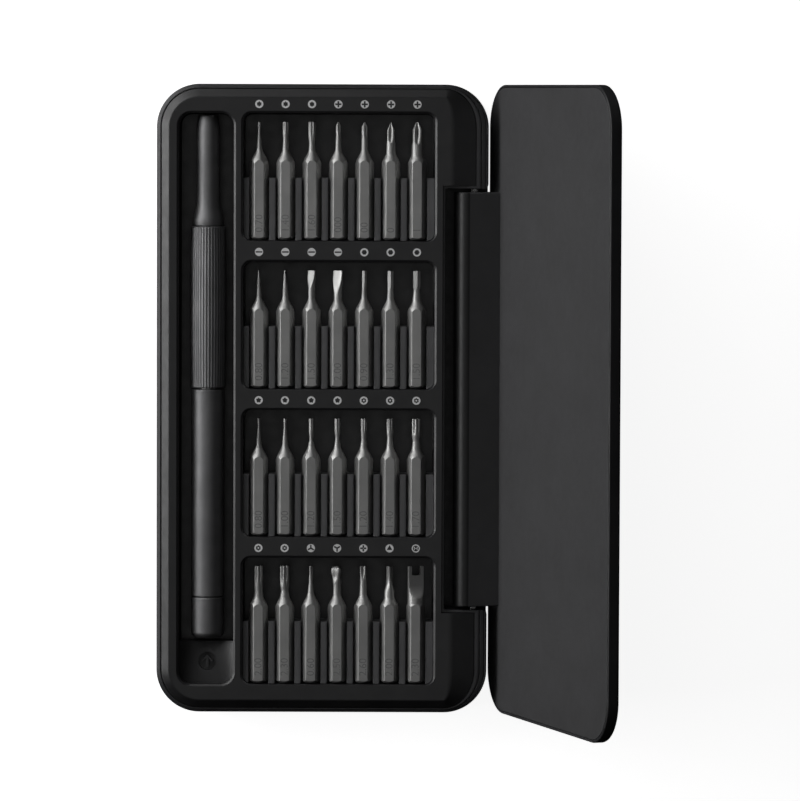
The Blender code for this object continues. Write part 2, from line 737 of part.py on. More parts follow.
def bit_shape(tip_rings, tip, shaft):
    """A 4 mm hex bit along +Y, centred on its length."""
    end, tail = BIT_LENGTH / 2, -BIT_LENGTH / 2
    flat, shoulder = BIT_FLATS / 2, tail + BIT_HEX_LENGTH
    hex_section = polygon(6, flat)
    loops = [
        section(tail, polygon(6, flat - BIT_TAIL_CHAMFER), BIT_POINTS),
        section(tail + BIT_TAIL_CHAMFER, hex_section, BIT_POINTS),
        section(shoulder, hex_section, BIT_POINTS),
        section(shoulder + BIT_SHOULDER, circle(flat - 0.05), BIT_POINTS),
    ]
    if shaft < BIT_FLATS * 0.8:
        slope = (flat - shaft / 2) / (flat - 0.5) * BIT_CONE
        loops.append(section(shoulder + BIT_SHOULDER + slope, circle(shaft / 2), BIT_POINTS))
    return loft(loops + tip_rings(tip, end))


def make_bits(finish):
    """Every bit lies in its own channel with its tip towards the driver's nose end."""
    for row, bits in enumerate(BIT_ROWS):
        middle = row_tail(row) + GAP + BIT_LENGTH / 2
        for column, (name, tip_rings, tip, shaft) in enumerate(bits):
            place = (FIRST_BIT_X + BIT_PITCH * column, middle, BIT_AXIS_HEIGHT)
            bit = piece(f"bit_{name}", bit_shape(tip_rings, tip, shaft), finish, place)
            if tip_rings is fork_blade:
                half, end = FORK_SLOT_WIDTH / 2, BIT_LENGTH / 2
                slot = block((-half, end - FORK_SLOT_DEPTH, -half * 2), (half, end + 1, half * 2))
                boolean(bit, "fork_slot", slot)


# ---------------------------------------------------------------- assembly
def main():
    for old in list(bpy.data.objects):
        bpy.data.objects.remove(old)

    shell_metal = material("case_metal", (0.045, 0.046, 0.050), 0.38, 0.6)
    tray_plastic = material("tray_plastic", (0.022, 0.022, 0.024), 0.55, 0.0)
    holder_plastic = material("holder_plastic", (0.014, 0.014, 0.015), 0.6, 0.0)
    lid_plastic = material("lid_plastic", (0.055, 0.056, 0.060), 0.5, 0.0)
    driver_metal = material("driver_metal", (0.060, 0.061, 0.066), 0.35, 0.8)
    bit_steel = material("bit_steel", (0.42, 0.42, 0.41), 0.35, 1.0)
    pin_steel = material("pin_steel", (0.55, 0.55, 0.55), 0.25, 1.0)
    magnet_nickel = material("magnet_nickel", (0.50, 0.49, 0.46), 0.3, 1.0)
    bush_brass = material("bush_brass", (0.60, 0.44, 0.20), 0.3, 1.0)

    make_case_shell(shell_metal)
    make_tray(tray_plastic)
    make_latch_magnets(magnet_nickel)
    for row in range(ROWS):
        make_bit_holder(row, holder_plastic)
        make_magnet_strip(row, magnet_nickel)

    lid_axis = empty("lid_axis", HINGE_AXIS)
    lid_axis.rotation_euler = (0, math.radians(OPEN_ANGLE), 0)
    make_lid_shell(shell_metal, lid_axis)
    make_lid_lining(lid_plastic, lid_axis)
    make_hinge_pins(pin_steel, lid_axis)
    make_latch_plates(pin_steel, lid_axis)

    driver_axis = empty("driver_axis", (DRIVER_X, 0, DRIVER_AXIS_HEIGHT))
    finishes = {"driver": driver_metal, "steel": pin_steel, "magnet": magnet_nickel, "bush": bush_brass}
    make_driver(finishes, driver_axis)
    make_bits(bit_steel)


main()
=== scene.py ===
"""The looks of the precision screwdriver set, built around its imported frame.

Lengths in this file are millimetres, and a mesh is turned into metres when it is made.
Every visible piece is drawn again at full detail in the place of its plain solid.
"""

import json
import math

import bmesh
import bpy
from mathutils import Matrix, Vector


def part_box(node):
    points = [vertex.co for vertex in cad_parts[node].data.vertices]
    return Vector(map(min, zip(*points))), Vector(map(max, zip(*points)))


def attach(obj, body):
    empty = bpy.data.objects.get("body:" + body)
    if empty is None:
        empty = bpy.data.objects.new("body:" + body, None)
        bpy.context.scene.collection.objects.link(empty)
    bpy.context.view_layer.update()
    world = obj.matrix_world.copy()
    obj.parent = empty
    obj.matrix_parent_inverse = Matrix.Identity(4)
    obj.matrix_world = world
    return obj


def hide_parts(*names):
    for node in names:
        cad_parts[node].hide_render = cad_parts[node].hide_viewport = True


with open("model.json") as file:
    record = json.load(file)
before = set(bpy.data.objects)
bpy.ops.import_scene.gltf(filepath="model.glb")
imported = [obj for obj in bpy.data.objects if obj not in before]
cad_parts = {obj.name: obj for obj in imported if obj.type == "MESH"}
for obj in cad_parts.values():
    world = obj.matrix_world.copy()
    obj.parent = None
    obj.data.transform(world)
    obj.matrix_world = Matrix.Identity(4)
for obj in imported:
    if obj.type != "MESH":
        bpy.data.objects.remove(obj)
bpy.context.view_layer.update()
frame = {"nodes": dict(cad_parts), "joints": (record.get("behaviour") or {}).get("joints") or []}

MM = 0.001

# ---- camera
CAMERA_PLACE = (0.01654, 0.07329, 1.25629)
CAMERA_TURN = (-3.3818, -0.0841, 0.2088)  # degrees about X, Y and Z

camera_data = bpy.data.cameras.new("camera")
camera_data.sensor_fit = "HORIZONTAL"
camera_data.sensor_width = 36.0
camera_data.lens = 234.46
camera_data.clip_start = 0.05
camera_data.clip_end = 50.0
camera = bpy.data.objects.new("camera", camera_data)
camera.location = CAMERA_PLACE
camera.rotation_euler = [math.radians(turn) for turn in CAMERA_TURN]
bpy.context.scene.collection.objects.link(camera)
bpy.context.scene.camera = camera
bpy.context.scene.view_settings.view_transform = "Standard"


# ---- the frame's places, in millimetres
def box_mm(node):
    """Lowest and highest corner of a frame node in millimetres."""
    low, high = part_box(node)
    return low / MM, high / MM


def centre_mm(node):
    """Middle of a frame node in millimetres."""
    low, high = box_mm(node)
    return (low + high) / 2


shell_high = box_mm("case_shell")[1]
tray_low, tray_high = box_mm("tray")
HALF_WIDTH = shell_high.x
HALF_LENGTH = shell_high.y
RIM_HEIGHT = shell_high.z
TRAY_TOP = tray_high.z
TRAY_BOTTOM = tray_low.z

AXIS_X, _, AXIS_Z = centre_mm("hinge_pin_far")

nose_low, nose_high = box_mm("driver_nose")
grip_low, grip_high = box_mm("driver_grip")
barrel_low, barrel_high = box_mm("driver_barrel")
cap_low, cap_high = box_mm("driver_cap")
DRIVER_X, _, DRIVER_Z = centre_mm("driver_grip")
GRIP_RADIUS = (grip_high.x - grip_low.x) / 2
BARREL_RADIUS = (barrel_high.x - barrel_low.x) / 2

lid_hinge = next(joint for joint in frame["joints"] if joint["name"] == "lid_hinge")
OPEN_ANGLE = max(abs(limit) for limit in lid_hinge["range_deg"])

# case
GAP = 0.3
SEAM = 0.12  # what shows between fixed neighbours
ABOVE = 6.0
CASE_CORNER = 10.3
FLOOR = 1.6
BOTTOM_ROUNDING = 1.2
RIM_ROUNDING = 1.2
RIM_SHARE = 0.9
HINGE_RIM_SHARE = 0.8
SHELL_WALL = 1.0
HINGE_WALL = 2.9
NOTCH_WALL = 0.6
NOTCH_LEFT = 29.4
NOTCH_HALF_LENGTH = 50.45
CORNER_STEPS = 28
BOSS_LENGTH = 7.0
BOSS_LEFT = 32.5
BOSS_TOP = 11.4
RIM_GROOVES = (0.62, 1.72)  # distances from the hinge-side face
RIM_GROOVE_WIDTH = 0.36
RIM_GROOVE_DEPTH = 0.22
GROOVE_FADE = 29.0  # the grooves fade out along both ends of the case
NOTCH_CORNER = 0.7
EAR_CORNER = 1.2
NOTCH_EDGE = 0.2

# lid, measured from the hinge axis with the lid closed
AXIS_DEPTH = 5.0
LID_THICKNESS = 2.9
LID_LIP = 0.62
LID_RECESS = 1.0
LID_EDGE_ROUNDING = 0.8
LID_EDGE_CHAMFER = 0.3
BLOCK_WIDTH = 6.9
BLOCK_INSET = 0.7
BLOCK_DEPTH = 9.9
BLOCK_HALF_LENGTH = 49.6
BLOCK_ROUNDING = 2.2
AXIS_INSET = HALF_WIDTH - AXIS_X

# tray
BEVEL_DROP = 1.2
BEVEL_WIDTH = 1.9
HINGE_BEVEL_WIDTH = 5.6
DRIVER_WELL_X = (-34.25, -21.2)
DRIVER_WELL_END = 68.3
DRIVER_WELL_CORNER = 3.0
DRIVER_WELL_FLOOR = 4.2
SCOOP_START = -58.4
SCOOP_END = -68.4
SCOOP_FLOOR = 9.0
SCOOP_RISE = 1.8
SCOOP_TROUGH = 3.0
ROWS = 4
BIT_WELL_X = (-18.9, 26.8)
BIT_WELL_LENGTH = 30.4
BIT_WELL_CORNER = 2.0
BIT_WELL_FLOOR = 4.5
TAIL_LIP_SHARE = 0.35
RIB_WIDTH = 1.60
RIB_TOP = 12.4

# bits
BITS_PER_ROW = 7
BIT_PITCH = 6.28
BIT_LENGTH = 28.0
BIT_FLAT = 1.97  # from the bit's axis to a flat


# ---- meshes
def loft(loops, ring=False):
    """Skin loops of equal length. A ring joins its last loop to its first; others get end caps."""
    shape = bmesh.new()
    rows = [[shape.verts.new(point) for point in loop] for loop in loops]
    pairs = list(zip(rows, rows[1:]))
    if ring:
        pairs.append((rows[-1], rows[0]))
    for low, high in pairs:
        for i in range(len(low)):
            j = (i + 1) % len(low)
            shape.faces.new((low[i], low[j], high[j], high[i]))
    if not ring:
        shape.faces.new(rows[0][::-1])
        shape.faces.new(rows[-1])
    bmesh.ops.recalc_face_normals(shape, faces=shape.faces)
    return shape


def merged(*shapes):
    """One bmesh that holds several."""
    whole = shapes[0]
    for shape in shapes[1:]:
        mesh = bpy.data.meshes.new("part")
        shape.to_mesh(mesh)
        shape.free()
        whole.from_mesh(mesh)
        bpy.data.meshes.remove(mesh)
    return whole


def as_object(name, shape):
    """Turn a bmesh in millimetres into a linked object in metres."""
    bmesh.ops.scale(shape, vec=(MM, MM, MM), verts=shape.verts)
    mesh = bpy.data.meshes.new(name)
    shape.to_mesh(mesh)
    shape.free()
    made = bpy.data.objects.new(name, mesh)
    bpy.context.scene.collection.objects.link(made)
    return made


def carve(target, shape, operation="DIFFERENCE"):
    """Cut the target with a helper shape, or join the shape to it, and keep the result."""
    helper = as_object("helper", shape)
    modifier = target.modifiers.new("carve", "BOOLEAN")
    modifier.object, modifier.operation, modifier.solver = helper, operation, "EXACT"
    graph = bpy.context.evaluated_depsgraph_get()
    result = bpy.data.meshes.new_from_object(target.evaluated_get(graph))
    target.modifiers.remove(modifier)
    old = target.data
    target.data = result
    bpy.data.meshes.remove(old)
    mesh = helper.data
    bpy.data.objects.remove(helper)
    bpy.data.meshes.remove(mesh)


def finish_piece(piece, finish, body, replaced=(), sharp=28.0):
    """Shade a piece, give it its material and its body, and hide the frame nodes it stands for."""
    mesh = piece.data
    mesh.shade_smooth()
    mesh.set_sharp_from_angle(angle=math.radians(sharp))
    mesh.materials.clear()
    mesh.materials.append(finish)
    weighted = piece.modifiers.new("face_weights", "WEIGHTED_NORMAL")
    weighted.mode = "FACE_AREA"
    weighted.weight = 50
    weighted.keep_sharp = True
    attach(piece, body)
    if replaced:
        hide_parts(*replaced)


# ---- shapes
def shares(steps):
    """Even steps from 0 to 1."""
    return [k / steps for k in range(steps + 1)]


def at_height(plan, z):
    """A flat loop of plan points lifted to a height."""
    return [(x, y, z) for x, y in plan]


def corner(centre, radii, start, steps):
    """A quarter of an ellipse, anticlockwise from the start angle in degrees."""
    angles = [math.radians(start + 90 * share) for share in shares(steps)]
    return [(centre[0] + radii[0] * math.cos(a), centre[1] + radii[1] * math.sin(a)) for a in angles]


def rounded_plan(x0, y0, x1, y1, radius):
    """A rectangle with round corners, anticlockwise."""
    near, far, left, right = y0 + radius, y1 - radius, x0 + radius, x1 - radius
    plan = []
    for centre, start in (((right, near), -90), ((right, far), 0), ((left, far), 90), ((left, near), 180)):
        plan += corner(centre, (radius, radius), start, 12)
    return plan


def case_plan(inset, hinge_inset, notch_inset=None):
    """The case's outline moved in by each inset, with the hinge block's notch if that has an inset."""
    cx, cy = HALF_WIDTH - CASE_CORNER, HALF_LENGTH - CASE_CORNER
    radius = CASE_CORNER - inset
    hinge_radii = (CASE_CORNER - hinge_inset, radius)
    plan = corner((cx, -cy), hinge_radii, -90, CORNER_STEPS)
    if notch_inset is not None:
        end = NOTCH_HALF_LENGTH + notch_inset
        mouth, wall = HALF_WIDTH - hinge_inset, NOTCH_LEFT - notch_inset
        plan += [(mouth, -end), (wall, -end), (wall, end), (mouth, end)]
    plan += corner((cx, cy), hinge_radii, 0, CORNER_STEPS)
    plan += corner((-cx, cy), (radius, radius), 90, CORNER_STEPS)
    plan += corner((-cx, -cy), (radius, radius), 180, CORNER_STEPS)
    return plan


def rounding(radius, steps=6):
    """Pairs (inward, upward) around a quarter round from its side to its face."""
    angles = [math.radians(90 * share) for share in shares(steps)]
    return [(radius * (1 - math.cos(a)), radius * math.sin(a)) for a in angles]


def bend(start, knee, end, steps=4):
    """Points of a soft bend between two straight runs that would meet at the knee."""
    return [
        tuple((1 - t) ** 2 * a + 2 * t * (1 - t) * b + t * t * c for a, b, c in zip(start, knee, end))
        for t in shares(steps)
    ]


def block(low, high):
    """A box between two corners."""
    (x0, y0, z0), (x1, y1, z1) = low, high
    plan = [(x0, y0), (x1, y0), (x1, y1), (x0, y1)]
    return loft([at_height(plan, z0), at_height(plan, z1)])


def ring_of(y, radius_at, angles):
    """A loop around the Y axis, whose radius may depend on the angle from +Z towards +X."""
    return [(radius_at(a) * math.sin(a), y, radius_at(a) * math.cos(a)) for a in angles]


def even_angles(points):
    """Angles of equal steps around a circle."""
    return [2 * math.pi * i / points for i in range(points)]


def circle(radius):
    """The radius function of a round section."""
    return lambda angle: radius


def polygon(sides, flat_radius, turn=0.0):
    """The radius function of a regular polygon with a flat on top, turned by an angle."""
    share = 2 * math.pi / sides
    return lambda angle: flat_radius / math.cos((angle - turn + share / 2) % share - share / 2)


def turned(profile, angles, ring=False):
    """A body turned about the Y axis from pairs (y, radius)."""
    return loft([ring_of(y, circle(radius), angles) for y, radius in profile], ring)


def moved(shape, offset):
    """The same bmesh, shifted by an offset in millimetres."""
    bmesh.ops.translate(shape, vec=offset, verts=shape.verts)
    return shape


# ---- materials
NOISE_LOW, NOISE_HIGH = 0.3, 0.7  # the part of a noise that is carried to a range


def feed(tree, node, inputs):
    """Link each input to a socket, or set it to a value."""
    for name, value in inputs.items():
        if isinstance(value, bpy.types.NodeSocket):
            tree.links.new(value, node.inputs[name])
        else:
            node.inputs[name].default_value = value


def wired(tree, kind, inputs, **settings):
    """A new node with its inputs and its settings."""
    node = tree.nodes.new(kind)
    for name, value in settings.items():
        setattr(node, name, value)
    feed(tree, node, inputs)
    return node


def new_material(name):
    """A bare node material, its tree and its shader."""
    made = bpy.data.materials.new(name)
    made.use_nodes = True
    tree = made.node_tree
    tree.nodes.clear()
    shader = wired(tree, "ShaderNodeBsdfPrincipled", {})
    wired(tree, "ShaderNodeOutputMaterial", {"Surface": shader.outputs["BSDF"]})
    return made, tree, shader


def noise(tree, scale, detail=3.0, stretch=(1, 1, 1)):
    """A noise value over the object's own coordinates, in features per metre."""
    place = wired(tree, "ShaderNodeTexCoord", {})
    mapping = wired(tree, "ShaderNodeMapping", {"Vector": place.outputs["Object"], "Scale": stretch})
    inputs = {"Vector": mapping.outputs["Vector"], "Scale": scale, "Detail": detail}
    return wired(tree, "ShaderNodeTexNoise", inputs).outputs["Fac"]


def ranged(tree, value, low, high):
    """A noise value carried to a range."""
    inputs = {"Value": value, "From Min": NOISE_LOW, "From Max": NOISE_HIGH, "To Min": low, "To Max": high}
    return wired(tree, "ShaderNodeMapRange", inputs).outputs["Result"]


def tinted(tree, value, dark, light):
    """A colour between two, by a noise value."""
    node = wired(tree, "ShaderNodeValToRGB", {"Fac": value})
    first, last = node.color_ramp.elements
    first.position, last.position = NOISE_LOW, NOISE_HIGH
    first.color, last.color = (*dark, 1.0), (*light, 1.0)
    return node.outputs["Color"]


def bumped(tree, value, depth):
    """A normal bumped by a noise value, to a depth in metres."""
    return wired(tree, "ShaderNodeBump", {"Height": value, "Distance": depth}).outputs["Normal"]


def edge_wear(tree, colour, worn, width):
    """Mix a worn colour in where the surface turns sharply within the width."""
    bevel = wired(tree, "ShaderNodeBevel", {"Radius": width}, samples=4)
    geometry = wired(tree, "ShaderNodeNewGeometry", {})
    normals = {0: bevel.outputs["Normal"], 1: geometry.outputs["Normal"]}
    dot = wired(tree, "ShaderNodeVectorMath", normals, operation="DOT_PRODUCT")
    turn = {"Value": dot.outputs["Value"], "From Min": 0.98, "From Max": 0.80}
    share = wired(tree, "ShaderNodeMapRange", turn).outputs["Result"]
    patches = ranged(tree, noise(tree, 900.0, 4.0), 0.0, 0.8)
    amount = wired(tree, "ShaderNodeMath", {0: share, 1: patches}, operation="MULTIPLY")
    mixed = wired(tree, "ShaderNodeMix", {}, data_type="RGBA")
    feed(tree, mixed, {"Factor": amount.outputs["Value"], "A": colour, "B": (*worn, 1.0)})
    return mixed.outputs["Result"]


def moulded_plastic(name, dark, light, roughness, specular=0.5):
    """Moulded plastic with a fine spark texture, soft mottling and lightly rubbed edges."""
    made, tree, shader = new_material(name)
    colour = tinted(tree, noise(tree, 130.0, 4.0), dark, light)
    worn = [1.5 * channel for channel in light]
    feed(tree, shader, {
        "Base Color": edge_wear(tree, colour, worn, 0.00025),
        "Roughness": ranged(tree, noise(tree, 420.0, 5.0), *roughness),
        "Specular IOR Level": specular,
        "Normal": bumped(tree, noise(tree, 5200.0, 2.0), 0.000012),
    })
    return made


def satin_metal(
    name, dark, light, roughness, metallic, stretch=(1, 1, 1), grain=4200.0, depth=0.000006, worn=None
):
    """Blasted or drawn metal: fine grain along one direction, cloudy gloss and brighter edges."""
    made, tree, shader = new_material(name)
    colour = tinted(tree, noise(tree, 160.0, 5.0), dark, light)
    feed(tree, shader, {
        "Base Color": edge_wear(tree, colour, worn, 0.0002) if worn else colour,
        "Roughness": ranged(tree, noise(tree, 900.0, 4.0, stretch), *roughness),
        "Metallic": metallic,
        "Normal": bumped(tree, noise(tree, grain, 3.0, stretch), depth),
    })
    return made


def ink(name, dark, light):
    """Pad-printed ink with slightly uneven cover."""
    made, tree, shader = new_material(name)
    feed(tree, shader, {
        "Base Color": tinted(tree, noise(tree, 2600.0), dark, light),
        "Roughness": ranged(tree, noise(tree, 3000.0), 0.45, 0.65),
        "Normal": bumped(tree, noise(tree, 5000.0), 0.000004),
    })
    return made


case_metal = satin_metal(
    "case_metal_look", (0.037, 0.037, 0.039), (0.046, 0.046, 0.049), (0.34, 0.46), 0.0, depth=0.000008
)
tray_plastic = moulded_plastic(
    "tray_plastic_look", (0.017, 0.017, 0.018), (0.022, 0.022, 0.023), (0.34, 0.44), specular=0.68
)
holder_plastic = moulded_plastic(
    "holder_plastic_look", (0.11, 0.11, 0.114), (0.13, 0.13, 0.134), (0.48, 0.60)
)
lid_plastic = moulded_plastic(
    "lid_plastic_look", (0.063, 0.063, 0.065), (0.072, 0.072, 0.075), (0.50, 0.60)
)
# the lining's plastic made far darker for the hinge block: painted shade where the block lies in shadow
block_painted_shade = moulded_plastic(
    "block_painted_shade_look", (0.009, 0.009, 0.0095), (0.012, 0.012, 0.0125), (0.46, 0.54)
)
driver_metal = satin_metal(
    "driver_metal_look", (0.23, 0.23, 0.235), (0.28, 0.28, 0.285), (0.53, 0.61), 1.0, (1, 0.12, 1)
)
bit_steel = satin_metal(
    "bit_steel_look", (0.46, 0.46, 0.455), (0.54, 0.54, 0.53), (0.46, 0.60), 1.0, (1, 0.25, 1),
    grain=5200.0, depth=0.00001, worn=(0.62, 0.62, 0.60)
)
pin_steel = satin_metal(
    "pin_steel_look", (0.50, 0.50, 0.50), (0.60, 0.60, 0.59), (0.20, 0.32), 1.0, (1, 8, 1)
)
magnet_nickel = satin_metal(
    "magnet_nickel_look", (0.46, 0.45, 0.42), (0.55, 0.54, 0.50), (0.22, 0.36), 1.0
)
bush_brass = satin_metal(
    "bush_brass_look", (0.52, 0.38, 0.16), (0.64, 0.48, 0.22), (0.25, 0.38), 1.0, (1, 8, 1)
)
mark_ink = ink("mark_ink_look", (0.84, 0.84, 0.84), (0.92, 0.92, 0.92))
etch_ink = ink("etch_look", (0.19, 0.19, 0.19), (0.32, 0.32, 0.32))

FRAME_FINISHES = [
    (magnet_nickel, ("latch_magnet", "magnet_strip", "driver_magnet")),
    (pin_steel, ("hinge_pin", "latch_plate", "driver_core", "cap_pin")),
    (bush_brass, ("cap_bushing",)),
]
for node, carried in frame["nodes"].items():
    for finish, starts in FRAME_FINISHES:
        if node.startswith(starts):
            carried.data.materials.clear()
            carried.data.materials.append(finish)


# ---- case
def rim_profile():
    """The rim's softened chamfer as (share of its width, height, depth of the hinge side's grooves)."""
    slope = bend((0.0, 0.0), (0.0, 0.50), (0.10, 0.66), 5) + bend((0.80, 0.94), (0.92, 1.0), (1.0, 1.0), 5)
    profile = [(share, RIM_ROUNDING * height, 0.0) for share, height in slope]
    width = HINGE_RIM_SHARE * HINGE_WALL
    half = RIM_GROOVE_WIDTH / 2 / width
    for inset in RIM_GROOVES:
        for share, depth in (
            (inset / width - half, 0.0), (inset / width, RIM_GROOVE_DEPTH), (inset / width + half, 0.0),
        ):
            after = next(i for i, point in enumerate(profile) if point[0] > share)
            (x0, z0, _), (x1, z1, _) = profile[after - 1], profile[after]
            profile.append((share, z0 + (z1 - z0) * (share - x0) / (x1 - x0), depth))
            profile.sort()
    return profile


def notch_cutter():
    """The hinge block's notch: round inner corners, round ears and a soft upper edge."""
    loops = []
    edge = NOTCH_EDGE
    flares = [(0.0, FLOOR)]
    for inward, upward in rounding(edge, 4):
        flares.append((inward, RIM_HEIGHT - edge + upward + (0.002 if upward == edge else 0.0)))
    flares.append((edge, RIM_HEIGHT + ABOVE))
    for grow, z in flares:
        inner, ear = NOTCH_CORNER - grow, EAR_CORNER - grow
        wall, end = NOTCH_LEFT - grow, NOTCH_HALF_LENGTH + grow
        outside = HALF_WIDTH + ABOVE
        far_ear = corner((HALF_WIDTH - ear, end + ear), (ear, ear), 270, 8) + [(outside, end + ear)]
        near_ear = [(x, -y) for x, y in far_ear]
        left = corner((wall + inner, end - inner), (inner, inner), 90, 4)
        left += corner((wall + inner, inner - end), (inner, inner), 180, 4)
        loops.append(at_height(near_ear + far_ear[::-1] + left, z))
    return loft(loops)


def make_case_shell():
    """The outer pan: rounded below and at the rim, with the hinge block's notch and its pins' bosses."""
    loops = []
    for inward, upward in reversed(rounding(BOTTOM_ROUNDING)):
        loops.append(at_height(case_plan(inward, inward), BOTTOM_ROUNDING - upward))
    rim_start = RIM_HEIGHT - RIM_ROUNDING
    for share, upward, groove in rim_profile():
        plan = case_plan(share * RIM_SHARE * SHELL_WALL, share * HINGE_RIM_SHARE * HINGE_WALL)
        loop = []
        for x, y in plan:
            fade = min(1.0, max(0.0, (x + GROOVE_FADE) / (2 * GROOVE_FADE)))
            loop.append((x, y, rim_start + upward - groove * fade))
        loops.append(loop)
    shell = as_object("case_shell_skin", loft(loops))
    carve(shell, notch_cutter())
    plan = case_plan(SHELL_WALL, HINGE_WALL, NOTCH_WALL)
    carve(shell, loft([at_height(plan, FLOOR), at_height(plan, RIM_HEIGHT + ABOVE)]))
    angles = even_angles(40)
    for side in (1, -1):
        faces = sorted((side * (NOTCH_HALF_LENGTH + GAP), side * (NOTCH_HALF_LENGTH + BOSS_LENGTH)))
        boss = block((BOSS_LEFT, faces[0], FLOOR / 2), (HALF_WIDTH - 1, faces[1], BOSS_TOP))
        carve(shell, boss, "UNION")
        ends = (NOTCH_HALF_LENGTH - 1, NOTCH_HALF_LENGTH + BOSS_LENGTH - 1)
        bore = turned([(side * y, 1.0 + GAP) for y in ends], angles)
        carve(shell, moved(bore, (AXIS_X, 0, AXIS_Z)))
    finish_piece(shell, case_metal, "case", ["case_shell"])


def lip_profile():
    """Pairs (outward, drop) around a well's mouth, from its wall up to the plateau."""
    wall = bend((0.0, 0.50), (0.0, 0.36), (0.06, 0.32), 3)
    face = bend((0.46, 0.05), (0.53, 0.0), (0.62, 0.0), 3)
    return wall + face


def well_cutter(x0, y0, x1, y1, radius, floor, tail_share=1.0):
    """The hollow of a well: straight walls, a rounded floor edge and a soft chamfer around its mouth.

    The chamfer is narrower on the side of the bits' tails by the given share.
    """
    loops = []
    foot = 0.6
    for inward, upward in reversed(rounding(foot, 3)):
        plan = rounded_plan(x0 + inward, y0 + inward, x1 - inward, y1 - inward, radius - inward)
        loops.append(at_height(plan, floor + foot - upward))
    for outward, drop in lip_profile():
        plan = rounded_plan(
            x0 - outward, y0 - outward * tail_share, x1 + outward, y1 + outward, radius + outward
        )
        loops.append(at_height(plan, TRAY_TOP - drop + (0.002 if drop == 0 else 0)))
    beyond = 1.0
    plan = rounded_plan(x0 - beyond, y0 - beyond, x1 + beyond, y1 + beyond, radius + beyond)
    loops.append(at_height(plan, TRAY_TOP + ABOVE))
    return loft(loops)


def scoop_height(x, y):
    """Height of the scoop's ramp."""
    middle = sum(DRIVER_WELL_X) / 2
    half = (DRIVER_WELL_X[1] - DRIVER_WELL_X[0]) / 2 + 1
    share = min(1.0, max(0.0, (SCOOP_START - y) / (SCOOP_START - SCOOP_END + 2)))
    across = (x - middle) / half
    trough = SCOOP_TROUGH * (1 - math.sqrt(max(0.0, 1 - 0.9 * across * across)))
    return SCOOP_FLOOR + SCOOP_RISE * (1 - (1 - share) ** 2.5) + trough


def scoop_filler():
    """The ramp that rises under the driver's cap, hollowed like a trough."""
    x0, x1 = DRIVER_WELL_X[0] - 1, DRIVER_WELL_X[1] + 1
    loops = []
    across = [x0 + (x1 - x0) * share for share in shares(32)]
    for share in shares(32):
        y = SCOOP_START - (SCOOP_START - SCOOP_END + 2) * share
        loop = [(x, y, scoop_height(x, y)) for x in across]
        loops.append(loop + [(x1, y, TRAY_BOTTOM + 1), (x0, y, TRAY_BOTTOM + 1)])
    return loft(loops)


def patch(outline, centre, low, high):
    """A slab over a star-shaped outline on the scoop, its faces at two offsets from the ramp."""
    rings = 6
    points = []
    for offset in (low, high):
        layer = []
        for r in range(1, rings + 1):
            layer.append([
                (centre[0] + x * r / rings, centre[1] + y * r / rings) for x, y in outline
            ])
        points.append([[(x, y, scoop_height(x, y) + offset) for x, y in loop] for loop in layer])
    bottom, top = points
    return loft(bottom + top[::-1])


def make_scoop_mark(tray):
    """A sunken disc with a raised arrow on the scoop, pointing at the driver."""
    centre = (sum(DRIVER_WELL_X) / 2 + 0.3, -63.15)
    disc = [(2.15 * math.cos(a), 2.15 * math.sin(a)) for a in even_angles(64)]
    carve(tray, patch(disc, centre, -1.2, 1.0))
    shaft = [(0.34, -1.45), (0.34, 1.25), (-0.34, 1.25), (-0.34, -1.45)]
    carve(tray, patch(shaft, centre, -1.5, 0.18), "UNION")
    for side in (1, -1):
        head = [(0.0, 1.55), (side * -0.32, 1.25), (side * 1.12, -0.15), (side * 1.42, 0.15)]
        middle = (sum(x for x, _ in head) / 4, sum(y for _, y in head) / 4)
        outline = [(x - middle[0], y - middle[1]) for x, y in head]
        carve(tray, patch(outline, (centre[0] + middle[0], centre[1] + middle[1]), -1.5, 0.18), "UNION")


def row_tail(row):
    """Y of a row's tail-side wall, from the frame's holder."""
    return box_mm(f"bit_holder_{row + 1}")[0].y - GAP


def make_tray():
    """The moulded tray: a bevelled plateau with a well for the driver and one for each row of bits."""
    hinge_side, inset = HINGE_WALL + SEAM, SHELL_WALL + SEAM
    notch_inset = NOTCH_WALL + SEAM
    edge = 0.12
    bevel_foot = TRAY_TOP - BEVEL_DROP
    profile = [(0.0, TRAY_BOTTOM), (0.0, bevel_foot - edge), (0.03, bevel_foot - 0.02)]
    for share, drop in bend((0.88, 0.12), (1.0, 0.0), (1.14, 0.0), 5):
        profile.append((share, TRAY_TOP - BEVEL_DROP * drop))
    loops = []
    for share, z in profile:
        plan = case_plan(inset + share * BEVEL_WIDTH, hinge_side + share * HINGE_BEVEL_WIDTH, notch_inset)
        loops.append(at_height(plan, z))
    tray = as_object("tray_skin", loft(loops))
    x0, x1 = DRIVER_WELL_X
    carve(tray, well_cutter(x0, SCOOP_END, x1, DRIVER_WELL_END, DRIVER_WELL_CORNER, DRIVER_WELL_FLOOR))
    carve(tray, scoop_filler(), "UNION")
    for row in range(ROWS):
        tail = row_tail(row)
        x0, x1 = BIT_WELL_X
        end = tail + BIT_WELL_LENGTH
        carve(tray, well_cutter(x0, tail, x1, end, BIT_WELL_CORNER, BIT_WELL_FLOOR, TAIL_LIP_SHARE))
    make_scoop_mark(tray)
    for side in (1, -1):
        faces = sorted((side * (NOTCH_HALF_LENGTH - 1), side * (NOTCH_HALF_LENGTH + BOSS_LENGTH + GAP)))
        carve(tray, block((BOSS_LEFT - GAP, faces[0], 0), (HALF_WIDTH, faces[1], BOSS_TOP + GAP)))
    for end in ("far", "near"):
        low, high = box_mm(f"latch_magnet_{end}")
        grown = Vector((GAP, GAP, GAP))
        carve(tray, block(tuple(low - grown - Vector((0, 0, 2))), tuple(high + grown)))
    finish_piece(tray, tray_plastic, "case", ["tray"], sharp=24.0)


